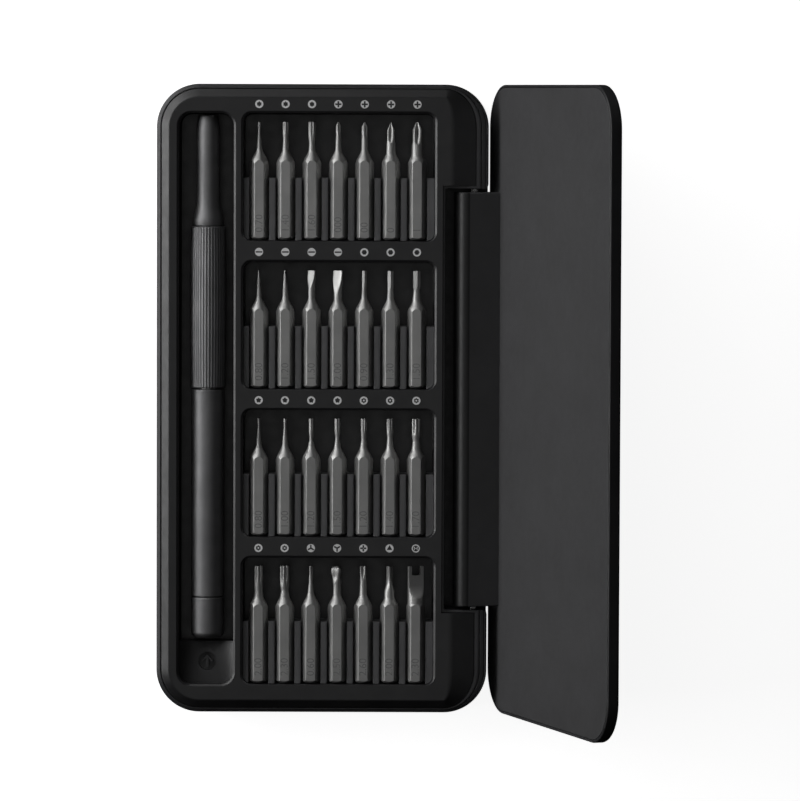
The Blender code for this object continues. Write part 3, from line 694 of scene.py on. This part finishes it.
def holder_plan():
    """A bit holder seen along Y: ribs between the bits on a common base, left wide at both ends."""
    x0, x1 = BIT_WELL_X[0] - 1, BIT_WELL_X[1] + 1
    bottom, channel = BIT_WELL_FLOOR + GAP, bit_axis(0).z - BIT_FLAT - GAP
    half, crown = (BIT_PITCH - RIB_WIDTH) / 2, 0.34
    side = [(half + crown, RIB_TOP), (half + 0.10, RIB_TOP - 0.10), (half, RIB_TOP - crown)]
    side += [(half - 0.05, channel + 0.4), (half - 0.45, channel)]
    points = [(x0, bottom), (x1, bottom), (x1, RIB_TOP)]
    for k in reversed(range(BITS_PER_ROW)):
        middle = bit_axis(k).x
        points += [(middle + x, z) for x, z in side]
        points += [(middle - x, z) for x, z in side[::-1]]
    return points + [(x0, RIB_TOP)]


def make_bit_holder(row):
    """A comb that keeps one row of bits apart."""
    low, high = box_mm(f"bit_holder_{row + 1}")
    loops = [[(x, y, z) for x, z in holder_plan()] for y in (low.y - 1, high.y)]
    holder = as_object(f"bit_holder_{row + 1}_skin", loft(loops))
    left, right = BIT_WELL_X[0] + SEAM, BIT_WELL_X[1] - SEAM
    start = low.y - GAP + SEAM
    plan = rounded_plan(left, start, right, start + BIT_WELL_LENGTH, BIT_WELL_CORNER - SEAM)
    carve(holder, loft([at_height(plan, 0), at_height(plan, TRAY_TOP)]), "INTERSECT")
    strip_low, strip_high = box_mm(f"magnet_strip_{row + 1}")
    grown = Vector((GAP, GAP, GAP))
    carve(holder, block(tuple(strip_low - grown - Vector((0, 0, 3))), tuple(strip_high + grown)))
    finish_piece(holder, holder_plastic, "case", [f"bit_holder_{row + 1}"], sharp=35.0)


# ---- lid
def lid_plan(inset):
    """The lid's outline moved in, measured from the hinge axis."""
    return [(x - AXIS_X, y) for x, y in case_plan(inset, inset)]


def opened(piece):
    """Turn a piece drawn about the hinge axis with the lid closed to where the open lid is."""
    turn = Matrix.Rotation(math.radians(OPEN_ANGLE), 4, "Y")
    piece.data.transform(Matrix.Translation((AXIS_X * MM, 0, AXIS_Z * MM)) @ turn)
    return piece


def make_lid_shell():
    """The outer plate: rounded outside, with a recess for the lining."""
    inner, outer = AXIS_DEPTH, AXIS_DEPTH + LID_THICKNESS
    loops = [
        at_height(lid_plan(LID_LIP), inner + LID_RECESS),
        at_height(lid_plan(LID_LIP), inner + 0.12),
    ]
    for inward, upward in reversed(rounding(LID_EDGE_CHAMFER, 4)):
        loops.append(at_height(lid_plan(inward), inner + LID_EDGE_CHAMFER - upward))
    for inward, upward in rounding(LID_EDGE_ROUNDING, 8):
        loops.append(at_height(lid_plan(inward), outer - LID_EDGE_ROUNDING + upward))
    shell = as_object("lid_shell_skin", loft(loops))
    plates = [box_mm(f"latch_plate_{end}") for end in ("far", "near")]
    for low, high in plates:
        pocket = block((-74.9, low.y - GAP, inner), (-70.3, high.y + GAP, inner + LID_RECESS + 1.0))
        carve(shell, pocket)
    finish_piece(opened(shell), case_metal, "lid", ["lid_shell"])


def block_profile():
    """The hinge block seen along Y, from the lid's inner face down and back, with two round edges."""
    left, right = AXIS_INSET - BLOCK_INSET - BLOCK_WIDTH, AXIS_INSET - BLOCK_INSET
    bottom = AXIS_DEPTH - BLOCK_DEPTH
    radii = (BLOCK_ROUNDING, BLOCK_ROUNDING)
    near = corner((left + BLOCK_ROUNDING, bottom + BLOCK_ROUNDING), radii, 180, 14)
    far = corner((right - BLOCK_ROUNDING, bottom + BLOCK_ROUNDING), radii, 270, 14)
    top = AXIS_DEPTH + LID_RECESS / 2
    return [(left, top)] + near + far + [(right, top)]


def make_lid_lining():
    """The lid's flat inner face, moulded in one piece with the block that turns in the case's notch; the
    block's faces are painted darker as shade.
    """
    top = AXIS_DEPTH + LID_RECESS - GAP
    loops = [
        at_height(lid_plan(LID_LIP + SEAM + 0.1), AXIS_DEPTH),
        at_height(lid_plan(LID_LIP + SEAM), AXIS_DEPTH + 0.08),
        at_height(lid_plan(LID_LIP + SEAM), top),
    ]
    lining = as_object("lid_lining_skin", loft(loops))
    profile, edge = block_profile(), 0.25
    middle = (sum(x for x, _ in profile) / len(profile), sum(z for _, z in profile) / len(profile))
    loops = []
    for y, shrink in (
        (-BLOCK_HALF_LENGTH, edge), (-BLOCK_HALF_LENGTH + edge, 0), (BLOCK_HALF_LENGTH - edge, 0),
        (BLOCK_HALF_LENGTH, edge),
    ):
        share = 1 - shrink / (BLOCK_WIDTH / 2)
        loop = []
        for x, z in profile:
            height = z if z > AXIS_DEPTH else middle[1] + (z - middle[1]) * share
            loop.append((middle[0] + (x - middle[0]) * share, y, height))
        loops.append(loop)
    carve(lining, loft(loops), "UNION")
    for side in (1, -1):
        ends = (BLOCK_HALF_LENGTH + 1, box_mm("hinge_pin_far")[0].y - GAP)
        carve(lining, turned([(side * y, 1.0 + GAP) for y in ends], even_angles(40)))
    face = (AXIS_DEPTH - 0.05) * MM
    points = lining.data.vertices
    on_block = [max(points[i].co.z for i in part.vertices) < face for part in lining.data.polygons]
    finish_piece(opened(lining), lid_plastic, "lid", ["lid_lining"], sharp=24.0)
    # the block's faces take the darker copy of the lining's plastic, a painted shade
    lining.data.materials.append(block_painted_shade)
    for part, in_painted_shade in zip(lining.data.polygons, on_block):
        part.material_index = int(in_painted_shade)


# ---- driver
DRIVER_POINTS = 144
FLUTES = 36
FLUTE_DEPTH = 0.13


def driver_piece(name, shape, node, body="driver"):
    """A piece drawn about the driver's axis, put in its place."""
    made = as_object(name, moved(shape, (DRIVER_X, 0, DRIVER_Z)))
    finish_piece(made, driver_metal, body, [node], sharp=30.0)


def soft_edge(y, inward):
    """Pairs (y, radius) around the barrel's softened edge at y, with the sign of the way to its middle."""
    step = 0.32
    return bend((y, BARREL_RADIUS - step), (y, BARREL_RADIUS), (y + inward * step, BARREL_RADIUS))


def make_driver():
    """A hollow nose, a fluted grip and a smooth barrel, and a cap that spins under the finger."""
    angles = even_angles(DRIVER_POINTS)
    nose_end, spigot_back = nose_high.y, nose_low.y
    nose_back = grip_high.y
    radius = 2.85
    outside = [(spigot_back, 2.6), (nose_back + SEAM, 2.6), (nose_back + SEAM, 3.55)]
    outside += [(nose_back + SEAM + 0.1, 3.68), (nose_back + SEAM + 0.25, 3.72)]
    outside += bend((nose_back + 1.2, 3.72), (nose_back + 1.9, 3.7), (nose_back + 2.5, 3.5), 4)
    outside += bend((nose_back + 3.6, 3.2), (nose_back + 5.0, radius), (nose_back + 7.5, radius), 8)
    outside += bend((nose_end - 4.6, radius), (nose_end - 3.4, radius), (nose_end - 2.4, 2.74), 6)
    outside += bend((nose_end - 0.7, 2.5), (nose_end - 0.05, 2.4), (nose_end, 2.28), 5)
    loops = [ring_of(y, circle(r), angles) for y, r in outside]
    socket = 2.0 + GAP / 2
    loops.append(ring_of(nose_end, polygon(6, socket * 0.99), angles))
    loops.append(ring_of(nose_end - 9.0, polygon(6, socket * 0.99), angles))
    loops.append(ring_of(nose_end - 9.0, circle(1.9), angles))
    loops.append(ring_of(nose_end - 11.6, circle(1.9), angles))
    driver_piece("driver_nose_skin", loft(loops), "driver_nose")

    front, back, bore = grip_high.y, grip_low.y, 2.9
    length = front - back
    loops = []
    stations = [0.0, 0.12, 0.3, 0.5] + [0.5 + (length - 1.0) * i / 24 for i in range(1, 25)]
    stations += [length - 0.3, length - 0.12, length]
    for along in stations:
        share = along / length
        swell = GRIP_RADIUS - 0.22 * (2 * share - 1) ** 2
        near_end = min(along, length - along)
        edge = 0.35 * max(0.0, 1 - near_end / 0.35) ** 2
        depth = FLUTE_DEPTH * min(1.0, near_end / 0.5)

        def radius_at(angle, top=swell - edge, cut=depth):
            wave = abs(math.sin(FLUTES * angle / 2))
            return top - cut * (1 - wave)

        loops.append(ring_of(front - along, radius_at, angles))
    loops += [ring_of(back, circle(bore), angles), ring_of(front, circle(bore), angles)]
    driver_piece("driver_grip_skin", loft(loops, ring=True), "driver_grip")

    front, back = barrel_high.y, barrel_low.y - GAP + SEAM
    profile = soft_edge(front, -1) + soft_edge(back, 1)[::-1] + [(back, bore), (front, bore)]
    driver_piece("driver_barrel_skin", turned(profile, angles, ring=True), "driver_barrel")

    front, back, dome = cap_high.y, cap_low.y, 1.5
    outside = soft_edge(front, -1)
    for inward, along in rounding(dome, 12):
        outside.append((back + dome - along, BARREL_RADIUS - inward))
    profile = outside[::-1] + [(front, 1.3), (back + 2.7, 1.3)]
    driver_piece("driver_cap_skin", turned(profile, angles), "driver_cap", "cap")


# ---- bits
CORNER_ROUND = 0.20  # radius of the hex's edges
TAIL_FACE = 1.5
TAIL_SLOPE = 0.8  # length of the tail's chamfer for each millimetre of radius
SHOULDER = 18.9  # from the tail to where the cone meets the middle of a flat
CONE_RADIUS = 2.27  # where the cone would start
CONE_SLOPE = 2.63  # length of the cone for each millimetre of radius

# the arc of a hex edge: its centre's distance from the axis, and half of the angle that it fills
COS_30 = math.cos(math.radians(30))
EDGE_CENTRE = (BIT_FLAT - CORNER_ROUND) / COS_30
EDGE_HALF = math.atan2(CORNER_ROUND * 0.5, EDGE_CENTRE + CORNER_ROUND * COS_30)


def bit_axis(column):
    """Middle of a bit of the first row, by its column, from the frame."""
    return centre_mm(f"bit_{BIT_ROWS[0][column][0]}")


def hex_radius(angle):
    """Radius of the bit's hex with rounded edges, a flat on top."""
    share = math.radians(60)
    from_flat = (angle + share / 2) % share - share / 2
    from_corner = share / 2 - abs(from_flat)
    if from_corner < EDGE_HALF:
        reach = EDGE_CENTRE * math.sin(from_corner)
        return EDGE_CENTRE * math.cos(from_corner) + math.sqrt(CORNER_ROUND**2 - reach**2)
    return BIT_FLAT / math.cos(from_flat)


def bit_angles():
    """Angles around a bit, close together at the hex's edges."""
    half = math.degrees(EDGE_HALF)
    angles = []
    for corner_at in range(30, 390, 60):
        angles += [corner_at + half * k / 2 for k in range(-2, 3)]
        angles += [corner_at + half + (60 - 2 * half) * k / 12 for k in range(1, 12)]
    return [math.radians(a) for a in angles]


ANGLES = bit_angles()


def along(loop_y, radius_at):
    """A loop whose place along the bit may depend on the angle too."""
    points = []
    for a in ANGLES:
        radius = radius_at(a)
        y = loop_y(radius) if callable(loop_y) else loop_y
        points.append((radius * math.sin(a), y, radius * math.cos(a)))
    return points


def star(lobes, outer, inner, turn=0.0, sharp=1.0):
    """Round lobes between an outer and an inner radius; a lower sharpness narrows the grooves."""

    def radius_at(angle):
        wave = (1 + math.cos(lobes * (angle - turn))) / 2
        return inner + (outer - inner) * wave**sharp

    return radius_at


def flats(radius, half, turn=0.0):
    """A round section with two flats ground on it."""
    return lambda angle: min(radius, half / max(abs(math.cos(angle - turn)), 1e-6))


def mix(first, second, share):
    """A radius function between two."""
    return lambda angle: first(angle) * (1 - share) + second(angle) * share


def ease(share):
    """A soft step from 0 to 1."""
    share = min(1.0, max(0.0, share))
    return share * share * (3 - 2 * share)


def blend_at(pairs, distance):
    """A value read from pairs (distance, value) that run back from the tip, with straight runs between."""
    for (d0, v0), (d1, v1) in zip(pairs, pairs[1:]):
        if distance <= d1:
            return v0 + (v1 - v0) * (distance - d0) / (d1 - d0)
    return pairs[-1][1]


def tip_fluted(lobes, tip, neck, length, depth=0.3, turn=0.0, sharp=0.55):
    """Stations of a fluted tip whose grooves run out into the neck: (distance from the end, radius)."""
    turn = math.radians(turn)
    stations = [(length + 1.0, circle(neck / 2))]
    for share in shares(12):
        d = (length + 0.6) * (1 - share)
        outer = neck / 2 + (tip - neck) / 2 * ease((length + 0.6 - d) / 1.3)
        cut = depth * tip / 2 * ease((length - d) / (length * 0.55))
        stations.append((max(d, 0.08), star(lobes, outer, outer - cut, turn, sharp)))
    stations.append((0.0, star(lobes, tip / 2 - 0.07, (tip / 2 - 0.05) * (1 - depth), turn, sharp)))
    return stations


def tip_cross(tip, nose, length, turn=0.0, depth=0.78, point=0.52):
    """Stations of a cross tip whose four wings run in to a point, with leaf-shaped flutes."""
    turn = math.radians(45 + turn)
    stations = []
    for share in shares(20):
        d = length * (1 - share) ** 1.3
        size = min(tip / 2, nose + point * d)
        leaf = math.sin(math.pi * min(1.0, 0.16 + 0.84 * d / length)) ** 0.7 if d < length else 0.0
        stations.append((d, star(4, size, size * (1 - depth * leaf), turn, 0.62)))
    return stations


def tip_blade(tip, shaft, length, turn, thick=0.16):
    """Stations of a blade: a round shaft that widens to the tip, with two flats ground down to the edge."""
    turn = math.radians(turn)
    stations = []
    for share in shares(12):
        radius = shaft / 2 + (tip - shaft) / 2 * ease(share * 1.4)
        half = shaft / 2 * 1.01 + (thick - shaft / 2 * 1.01) * share**0.8
        stations.append((length * (1 - share), flats(radius, half, turn)))
    return stations


def tip_prism(sides, tip, neck, length, turn):
    """Stations of a straight tip with flat sides."""
    flat, turn = tip / 2, math.radians(turn)
    body = polygon(sides, flat, turn)
    stations = [(length + 0.7, circle(neck / 2))]
    for share in (0.0, 0.35, 0.7, 1.0):
        stations.append((length + 0.3 - 0.5 * share, mix(circle(neck / 2), body, share)))
    return stations + [(0.10, body), (0.0, polygon(sides, flat - 0.08, turn))]


def tip_triangle(tip, base, length):
    """Stations of a three-sided tip with an edge on top, which grows smoothly into its round base."""
    body = polygon(3, tip / 4, math.pi)
    stations = []
    for share in shares(12):
        d = length * (1 - share)
        grown = ease(share / 0.75)
        stations.append((max(d, 0.06), mix(circle(base / 2), body, grown**0.5)))
    return stations + [(0.0, polygon(3, tip / 4 - 0.05, math.pi))]


def tip_wing(tip, neck, length, turn):
    """Stations of a bulb with three wings and a rounded nose."""
    turn = math.radians(turn)
    outline = [(0.0, 0.24), (0.12, 0.58), (0.35, 0.82), (0.7, 0.96), (1.1, 1.0), (1.6, 0.97), (2.4, 0.84),
               (3.2, 0.74), (length, neck / tip)]
    stations = []
    for share in shares(24):
        d = length * (1 - share) ** 1.5
        radius = tip / 2 * blend_at(outline, d)
        cut = 0.40 * ease((length - 0.6 - d) / 1.6)
        stations.append((d, star(3, radius, radius * (1 - cut), turn)))
    return stations


def tip_prongs(tip, neck, length, turn=0.0):
    """Stations of a tip whose four prongs spread towards the end, with deep grooves between them."""
    turn = math.radians(45 + turn)
    stations = []
    for share in shares(14):
        d = (length + 0.5) * (1 - share)
        outer = neck / 2 + (tip - neck) / 2 * share**1.5
        cut = 0.72 * ease((length - d) / (length * 0.7))
        stations.append((d, star(4, outer, outer * (1 - cut), turn, 0.6)))
    return stations


FORK_TURN = math.radians(17)


def tip_fork(tip, length=7.6):
    """Stations of the wide forked blade, whose slot is cut afterwards."""
    stations = []
    for share in shares(16):
        d = length * (1 - share)
        half = 0.58 + (tip / 2 - 0.58) * max(0.0, (d - 4.6) / (length - 4.6)) ** 2
        stations.append((d, flats(tip / 2, half, FORK_TURN)))
    return stations


# each row from the driver to the hinge: name, shaft diameter, stations of the tip, engraved size
BIT_ROWS = [
    [
        ("six_lobe_1", 1.25, tip_fluted(6, 0.82, 0.66, 1.4, 0.16), "0.70"),
        ("six_lobe_2", 1.50, tip_fluted(6, 1.50, 1.30, 3.1, 0.28, -2, 0.45), "1.40"),
        ("six_lobe_3", 1.60, tip_fluted(6, 1.70, 1.45, 4.4, 0.34, -23), "1.60"),
        ("cross_1", 1.40, tip_cross(1.15, 0.14, 2.9, 30), "000"),
        ("cross_2", 1.60, tip_cross(1.45, 0.14, 3.4, 28), "00"),
        ("cross_3", 2.30, tip_cross(2.15, 0.12, 4.9, -4), "0"),
        ("cross_4", 2.75, tip_cross(2.65, 0.42, 5.3, 6), "1"),
    ],
    [
        ("slot_1", 1.25, tip_blade(0.90, 1.20, 5.6, 72, 0.09), "0.80"),
        ("slot_2", 1.45, tip_blade(1.10, 1.40, 5.6, 70, 0.12), "1.20"),
        ("slot_3", 1.70, tip_blade(2.05, 1.65, 4.1, -38), "1.50"),
        ("slot_4", 2.00, tip_blade(2.60, 1.95, 5.6, -36), "2.00"),
        ("hex_1", 1.30, tip_prism(6, 1.00, 1.05, 4.0, -24), "0.90"),
        ("hex_2", 1.65, tip_prism(6, 1.35, 1.45, 4.2, -24), "1.30"),
        ("hex_3", 2.00, tip_prism(6, 1.65, 1.60, 4.3, -20), "1.50"),
    ],
    [
        ("five_lobe_1", 1.25, tip_fluted(5, 0.75, 0.60, 1.2, 0.14), "0.80"),
        ("five_lobe_2", 1.40, tip_fluted(5, 0.82, 0.70, 1.2, 0.14), "1.00"),
        ("five_lobe_3", 1.50, tip_fluted(5, 1.15, 0.90, 4.3, 0.26, -12), "1.20"),
        ("five_lobe_4", 1.50, tip_fluted(5, 1.40, 1.10, 3.9, 0.28, -20), "1.50"),
        ("six_lobe_post_1", 1.60, tip_fluted(6, 1.35, 1.20, 4.1, 0.28, 30), "1.20"),
        ("six_lobe_post_2", 1.70, tip_fluted(6, 1.60, 1.35, 3.9, 0.26, -12), "1.40"),
        ("six_lobe_post_3", 2.10, tip_fluted(6, 2.20, 1.75, 4.5, 0.30, 0, 0.5), "1.70"),
    ],
    [
        ("six_lobe_post_4", 2.20, tip_fluted(6, 2.15, 2.00, 5.3, 0.32, -5, 0.5), "2.00"),
        ("six_lobe_post_5", 2.20, tip_fluted(6, 2.30, 1.90, 5.2, 0.38, -10), "2.30"),
        ("tri_point_1", 1.60, tip_fluted(3, 1.00, 1.00, 3.0, 0.30, -30, 0.8), "0.60"),
        ("tri_wing_1", 1.95, tip_wing(2.90, 1.85, 4.6, 27), "2.50"),
        ("cross_post_1", 1.80, tip_prongs(1.95, 1.60, 3.6, -6), "2.60"),
        ("triangle_1", 2.50, tip_triangle(1.75, 2.45, 6.0), "2.00"),
        ("fork_1", 3.85, tip_fork(3.85), "2.30"),
    ],
]


def cone_start(radius, shaft):
    """How far along the cone, as a share, it has a radius: it leaves the hex and meets the shaft softly."""
    fallen = min(1.0, max(0.0, (CONE_RADIUS - radius) / (CONE_RADIUS - shaft)))
    return 0.5 - math.sin(math.asin(1 - 2 * fallen) / 3)


def bit_shape(shaft, stations):
    """A hex bit along +Y with its tail at 0: chamfered tail, hex, cone, shaft and tip."""
    radius = shaft / 2
    reach = CONE_SLOPE * (CONE_RADIUS - radius)
    start = cone_start(BIT_FLAT, radius)
    origin = SHOULDER - reach * start
    loops = [along(0.0, circle(TAIL_FACE))]
    loops.append(along(lambda r: (r - TAIL_FACE) * TAIL_SLOPE, hex_radius))
    loops.append(along(lambda r: origin + reach * cone_start(r, radius), hex_radius))
    for step in shares(10)[1:]:
        share = start + (1 - start) * step
        here = CONE_RADIUS - (CONE_RADIUS - radius) * ease(share)
        loops.append(along(origin + reach * share, circle(here)))
    last = origin + reach
    for distance, radius_at in stations:
        y = BIT_LENGTH - distance
        if y > last + 0.05 or distance <= 0.1:
            loops.append(along(y, radius_at))
            last = max(last, y)
    return loft(loops)


def make_mark(name, text, place, body):
    """A size mark etched along a bit's upper right flat."""
    curve = bpy.data.curves.new(name, "FONT")
    curve.body = text
    curve.size = 2.5 * MM
    curve.extrude = 0.006 * MM
    curve.align_x = "LEFT"
    curve.align_y = "CENTER"
    maker = bpy.data.objects.new(name + "_text", curve)
    bpy.context.scene.collection.objects.link(maker)
    graph = bpy.context.evaluated_depsgraph_get()
    mesh = bpy.data.meshes.new_from_object(maker.evaluated_get(graph))
    bpy.data.objects.remove(maker)
    bpy.data.curves.remove(curve)
    mesh.transform(Matrix.Translation(place) @ Matrix.Rotation(math.radians(90), 4, "Z"))
    mark = bpy.data.objects.new(name, mesh)
    bpy.context.scene.collection.objects.link(mark)
    mesh.materials.clear()
    mesh.materials.append(etch_ink)
    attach(mark, body)


def fork_slot():
    """The slot between the fork's prongs, with a slightly hollow end, about the tip's end."""
    half, depth, hollow = 1.15, 2.0, 0.25
    end = [(half * (1 - k / 4), -depth - hollow * (1 - (1 - k / 4) ** 2)) for k in range(9)]
    outline = [(-half, 1.0)] + [(-x, y) for x, y in end] + [(half, 1.0)]
    slot = loft([at_height(outline, -3.0), at_height(outline, 3.0)])
    bmesh.ops.rotate(slot, cent=(0, 0, 0), matrix=Matrix.Rotation(FORK_TURN, 3, "Y"), verts=slot.verts)
    return slot


def make_bits():
    """Every bit in its own channel, with its size etched near the tail."""
    for row in BIT_ROWS:
        for name, shaft, stations, size in row:
            node = f"bit_{name}"
            low, high = box_mm(node)
            x, _, z = centre_mm(node)
            shape = moved(bit_shape(shaft, stations), (x, low.y, z))
            bit = as_object(node + "_skin", shape)
            if name.startswith("fork"):
                carve(bit, moved(fork_slot(), (x, high.y, z)))
            finish_piece(bit, bit_steel, node, [node], sharp=22.0)
            place = Vector((x + 0.05, low.y + 1.7, z + BIT_FLAT + 0.004)) * MM
            make_mark(f"size_{name}", size, place, node)


# ---- printed marks on the plateau
MARK_RADIUS = 0.98
MARK_OFFSETS = (2.18, 2.38, 2.38, 2.38)  # from each well's far wall to its marks
MARK_LOW, MARK_HIGH = TRAY_TOP + 0.002, TRAY_TOP + 0.012
MARK_POINTS = 72


def bar(half_width, half_length, turn=0.0):
    """The radius function of a bar through the centre, along the turn's direction."""

    def radius_at(angle):
        across, length = abs(math.sin(angle - turn)), abs(math.cos(angle - turn))
        return min(half_length / max(length, 1e-6), half_width / max(across, 1e-6))

    return radius_at


def spokes(count, half_width, length, turn=0.0):
    """The radius function of spokes from the centre."""

    def radius_at(angle):
        reach = half_width
        for k in range(count):
            off = angle - turn - 2 * math.pi * k / count
            if math.cos(off) > 0:
                reach = max(reach, min(length / math.cos(off), half_width / max(abs(math.sin(off)), 1e-6)))
        return reach

    return radius_at


def printed(centre, hole=None, radius=MARK_RADIUS):
    """A printed disc, with a hole of some shape that leaves the plastic bare."""

    def flat_loop(radius_at, z):
        points = [(radius_at(a), a) for a in even_angles(MARK_POINTS)]
        return [(centre[0] + r * math.sin(a), centre[1] + r * math.cos(a), z) for r, a in points]

    rim = circle(radius)
    loops = [flat_loop(rim, MARK_LOW), flat_loop(rim, MARK_HIGH)]
    if hole:
        loops += [flat_loop(hole, MARK_HIGH), flat_loop(hole, MARK_LOW)]
    return loft(loops, ring=bool(hole))


MARK_HOLES = {
    # kind of bit: shape of the hole in its mark, radius of the dot inside
    "six_lobe": (star(6, 0.60, 0.46), 0),
    "six_lobe_post": (star(6, 0.62, 0.50), 0.22),
    "five_lobe": (star(5, 0.62, 0.46), 0),
    "cross": (spokes(4, 0.20, 0.74), 0),
    "cross_post": (spokes(4, 0.19, 0.74), 0.09),
    "slot": (bar(0.17, 0.80, math.radians(90)), 0),
    "hex": (polygon(6, 0.54), 0),
    "tri_point": (spokes(3, 0.17, 0.82), 0),
    "tri_wing": (spokes(3, 0.19, 0.84, math.radians(180)), 0),
    "triangle": (polygon(3, 0.38, math.radians(180)), 0),
    "fork": (circle(0.70), 0),
}


def mark_shapes(name, centre):
    """The printed shapes that stand for one bit."""
    kind = name.rsplit("_", 1)[0]
    hole, dot = MARK_HOLES[kind]
    shapes = [printed(centre, hole)]
    if dot:
        shapes.append(printed(centre, radius=dot))
    if kind == "fork":
        for x, half_x, half_y in ((0, 0.42, 0.09), (-0.34, 0.10, 0.42), (0.34, 0.10, 0.42)):
            x, y = centre[0] + x, centre[1]
            shapes.append(block((x - half_x, y - half_y, MARK_LOW), (x + half_x, y + half_y, MARK_HIGH)))
    return shapes


def make_marks():
    """One row of printed marks above each row of bits."""
    for number, row in enumerate(BIT_ROWS):
        y = row_tail(number) + BIT_WELL_LENGTH + MARK_OFFSETS[number]
        shapes = []
        for column, (name, *_) in enumerate(row):
            shapes += mark_shapes(name, (bit_axis(column).x, y))
        marks = as_object(f"printed_marks_{number + 1}", merged(*shapes))
        marks.data.materials.append(mark_ink)
        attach(marks, "case")


# ---- stage
FLOOR_GLOW = 0.9


def make_floor():
    """A plain pale floor that glows, with a painted shade: the glow dies out deep in narrow gaps."""
    shape = bmesh.new()
    bmesh.ops.create_grid(shape, x_segments=1, y_segments=1, size=6000.0)
    floor = as_object("floor", shape)
    floor.location.z = -0.00005
    made, tree, shader = new_material("floor_look")
    # ambient occlusion turns the glow off in narrow gaps under and between the pieces: painted shade
    occlusion = wired(tree, "ShaderNodeAmbientOcclusion", {"Distance": 0.004})
    open_share = {"Value": occlusion.outputs["AO"], "From Min": 0.05, "From Max": 0.4, "To Max": FLOOR_GLOW}
    feed(tree, shader, {
        "Base Color": tinted(tree, noise(tree, 3.0), (0.80, 0.80, 0.80), (0.84, 0.84, 0.84)),
        "Roughness": ranged(tree, noise(tree, 40.0), 0.75, 0.9),
        "Emission Color": (1, 1, 1, 1),
        "Emission Strength": wired(tree, "ShaderNodeMapRange", open_share).outputs["Result"],
        "Specular IOR Level": 0.1,
    })
    floor.data.materials.append(made)
    floor.visible_diffuse = False
    floor.visible_glossy = False


def softbox(name, azimuth, elevation, distance, size, brightness):
    """A rectangular light that faces the case, placed by angles in degrees and metres."""
    around, up = math.radians(azimuth), math.radians(elevation)
    data = bpy.data.lights.new(name, "AREA")
    data.shape = "RECTANGLE"
    data.size, data.size_y = size
    data.energy = brightness * math.pi * size[0] * size[1]
    light = bpy.data.objects.new(name, data)
    away = Vector((math.cos(around) * math.cos(up), math.sin(around) * math.cos(up), math.sin(up)))
    light.location = LIGHT_TARGET + distance * away
    light.rotation_euler = away.to_track_quat("Z", "Y").to_euler()
    light.visible_camera = False
    bpy.context.scene.collection.objects.link(light)


LIGHT_TARGET = Vector((0.0, 0.0, 0.012))
SOFTBOXES = [
    # name, azimuth from +X, elevation, distance, size, brightness
    ("wide_softbox", 142, 25, 0.80, (0.68, 0.60), 1.2),
    ("left_softbox", 180, 18, 0.80, (0.34, 0.44), 3.4),
    ("far_softbox", 105, 26, 0.80, (0.34, 0.60), 0.9),
    ("near_softbox", 150, 24, 0.40, (0.34, 0.11), 2.8),
    ("overhead_softbox", 180, 86, 1.50, (1.0, 1.0), 0.29),
]


def make_stage():
    """The floor, the lights and the pale surroundings."""
    make_floor()
    for entry in SOFTBOXES:
        softbox(*entry)
    world = bpy.data.worlds.new("surroundings")
    bpy.context.scene.world = world
    world.use_nodes = True
    background = world.node_tree.nodes["Background"]
    background.inputs["Color"].default_value = (1, 1, 1, 1)
    background.inputs["Strength"].default_value = 1.0
    world.cycles_visibility.diffuse = False
    world.cycles_visibility.glossy = False


make_case_shell()
make_tray()
for row_number in range(ROWS):
    make_bit_holder(row_number)
make_lid_shell()
make_lid_lining()
make_driver()
make_bits()
make_marks()
make_stage()
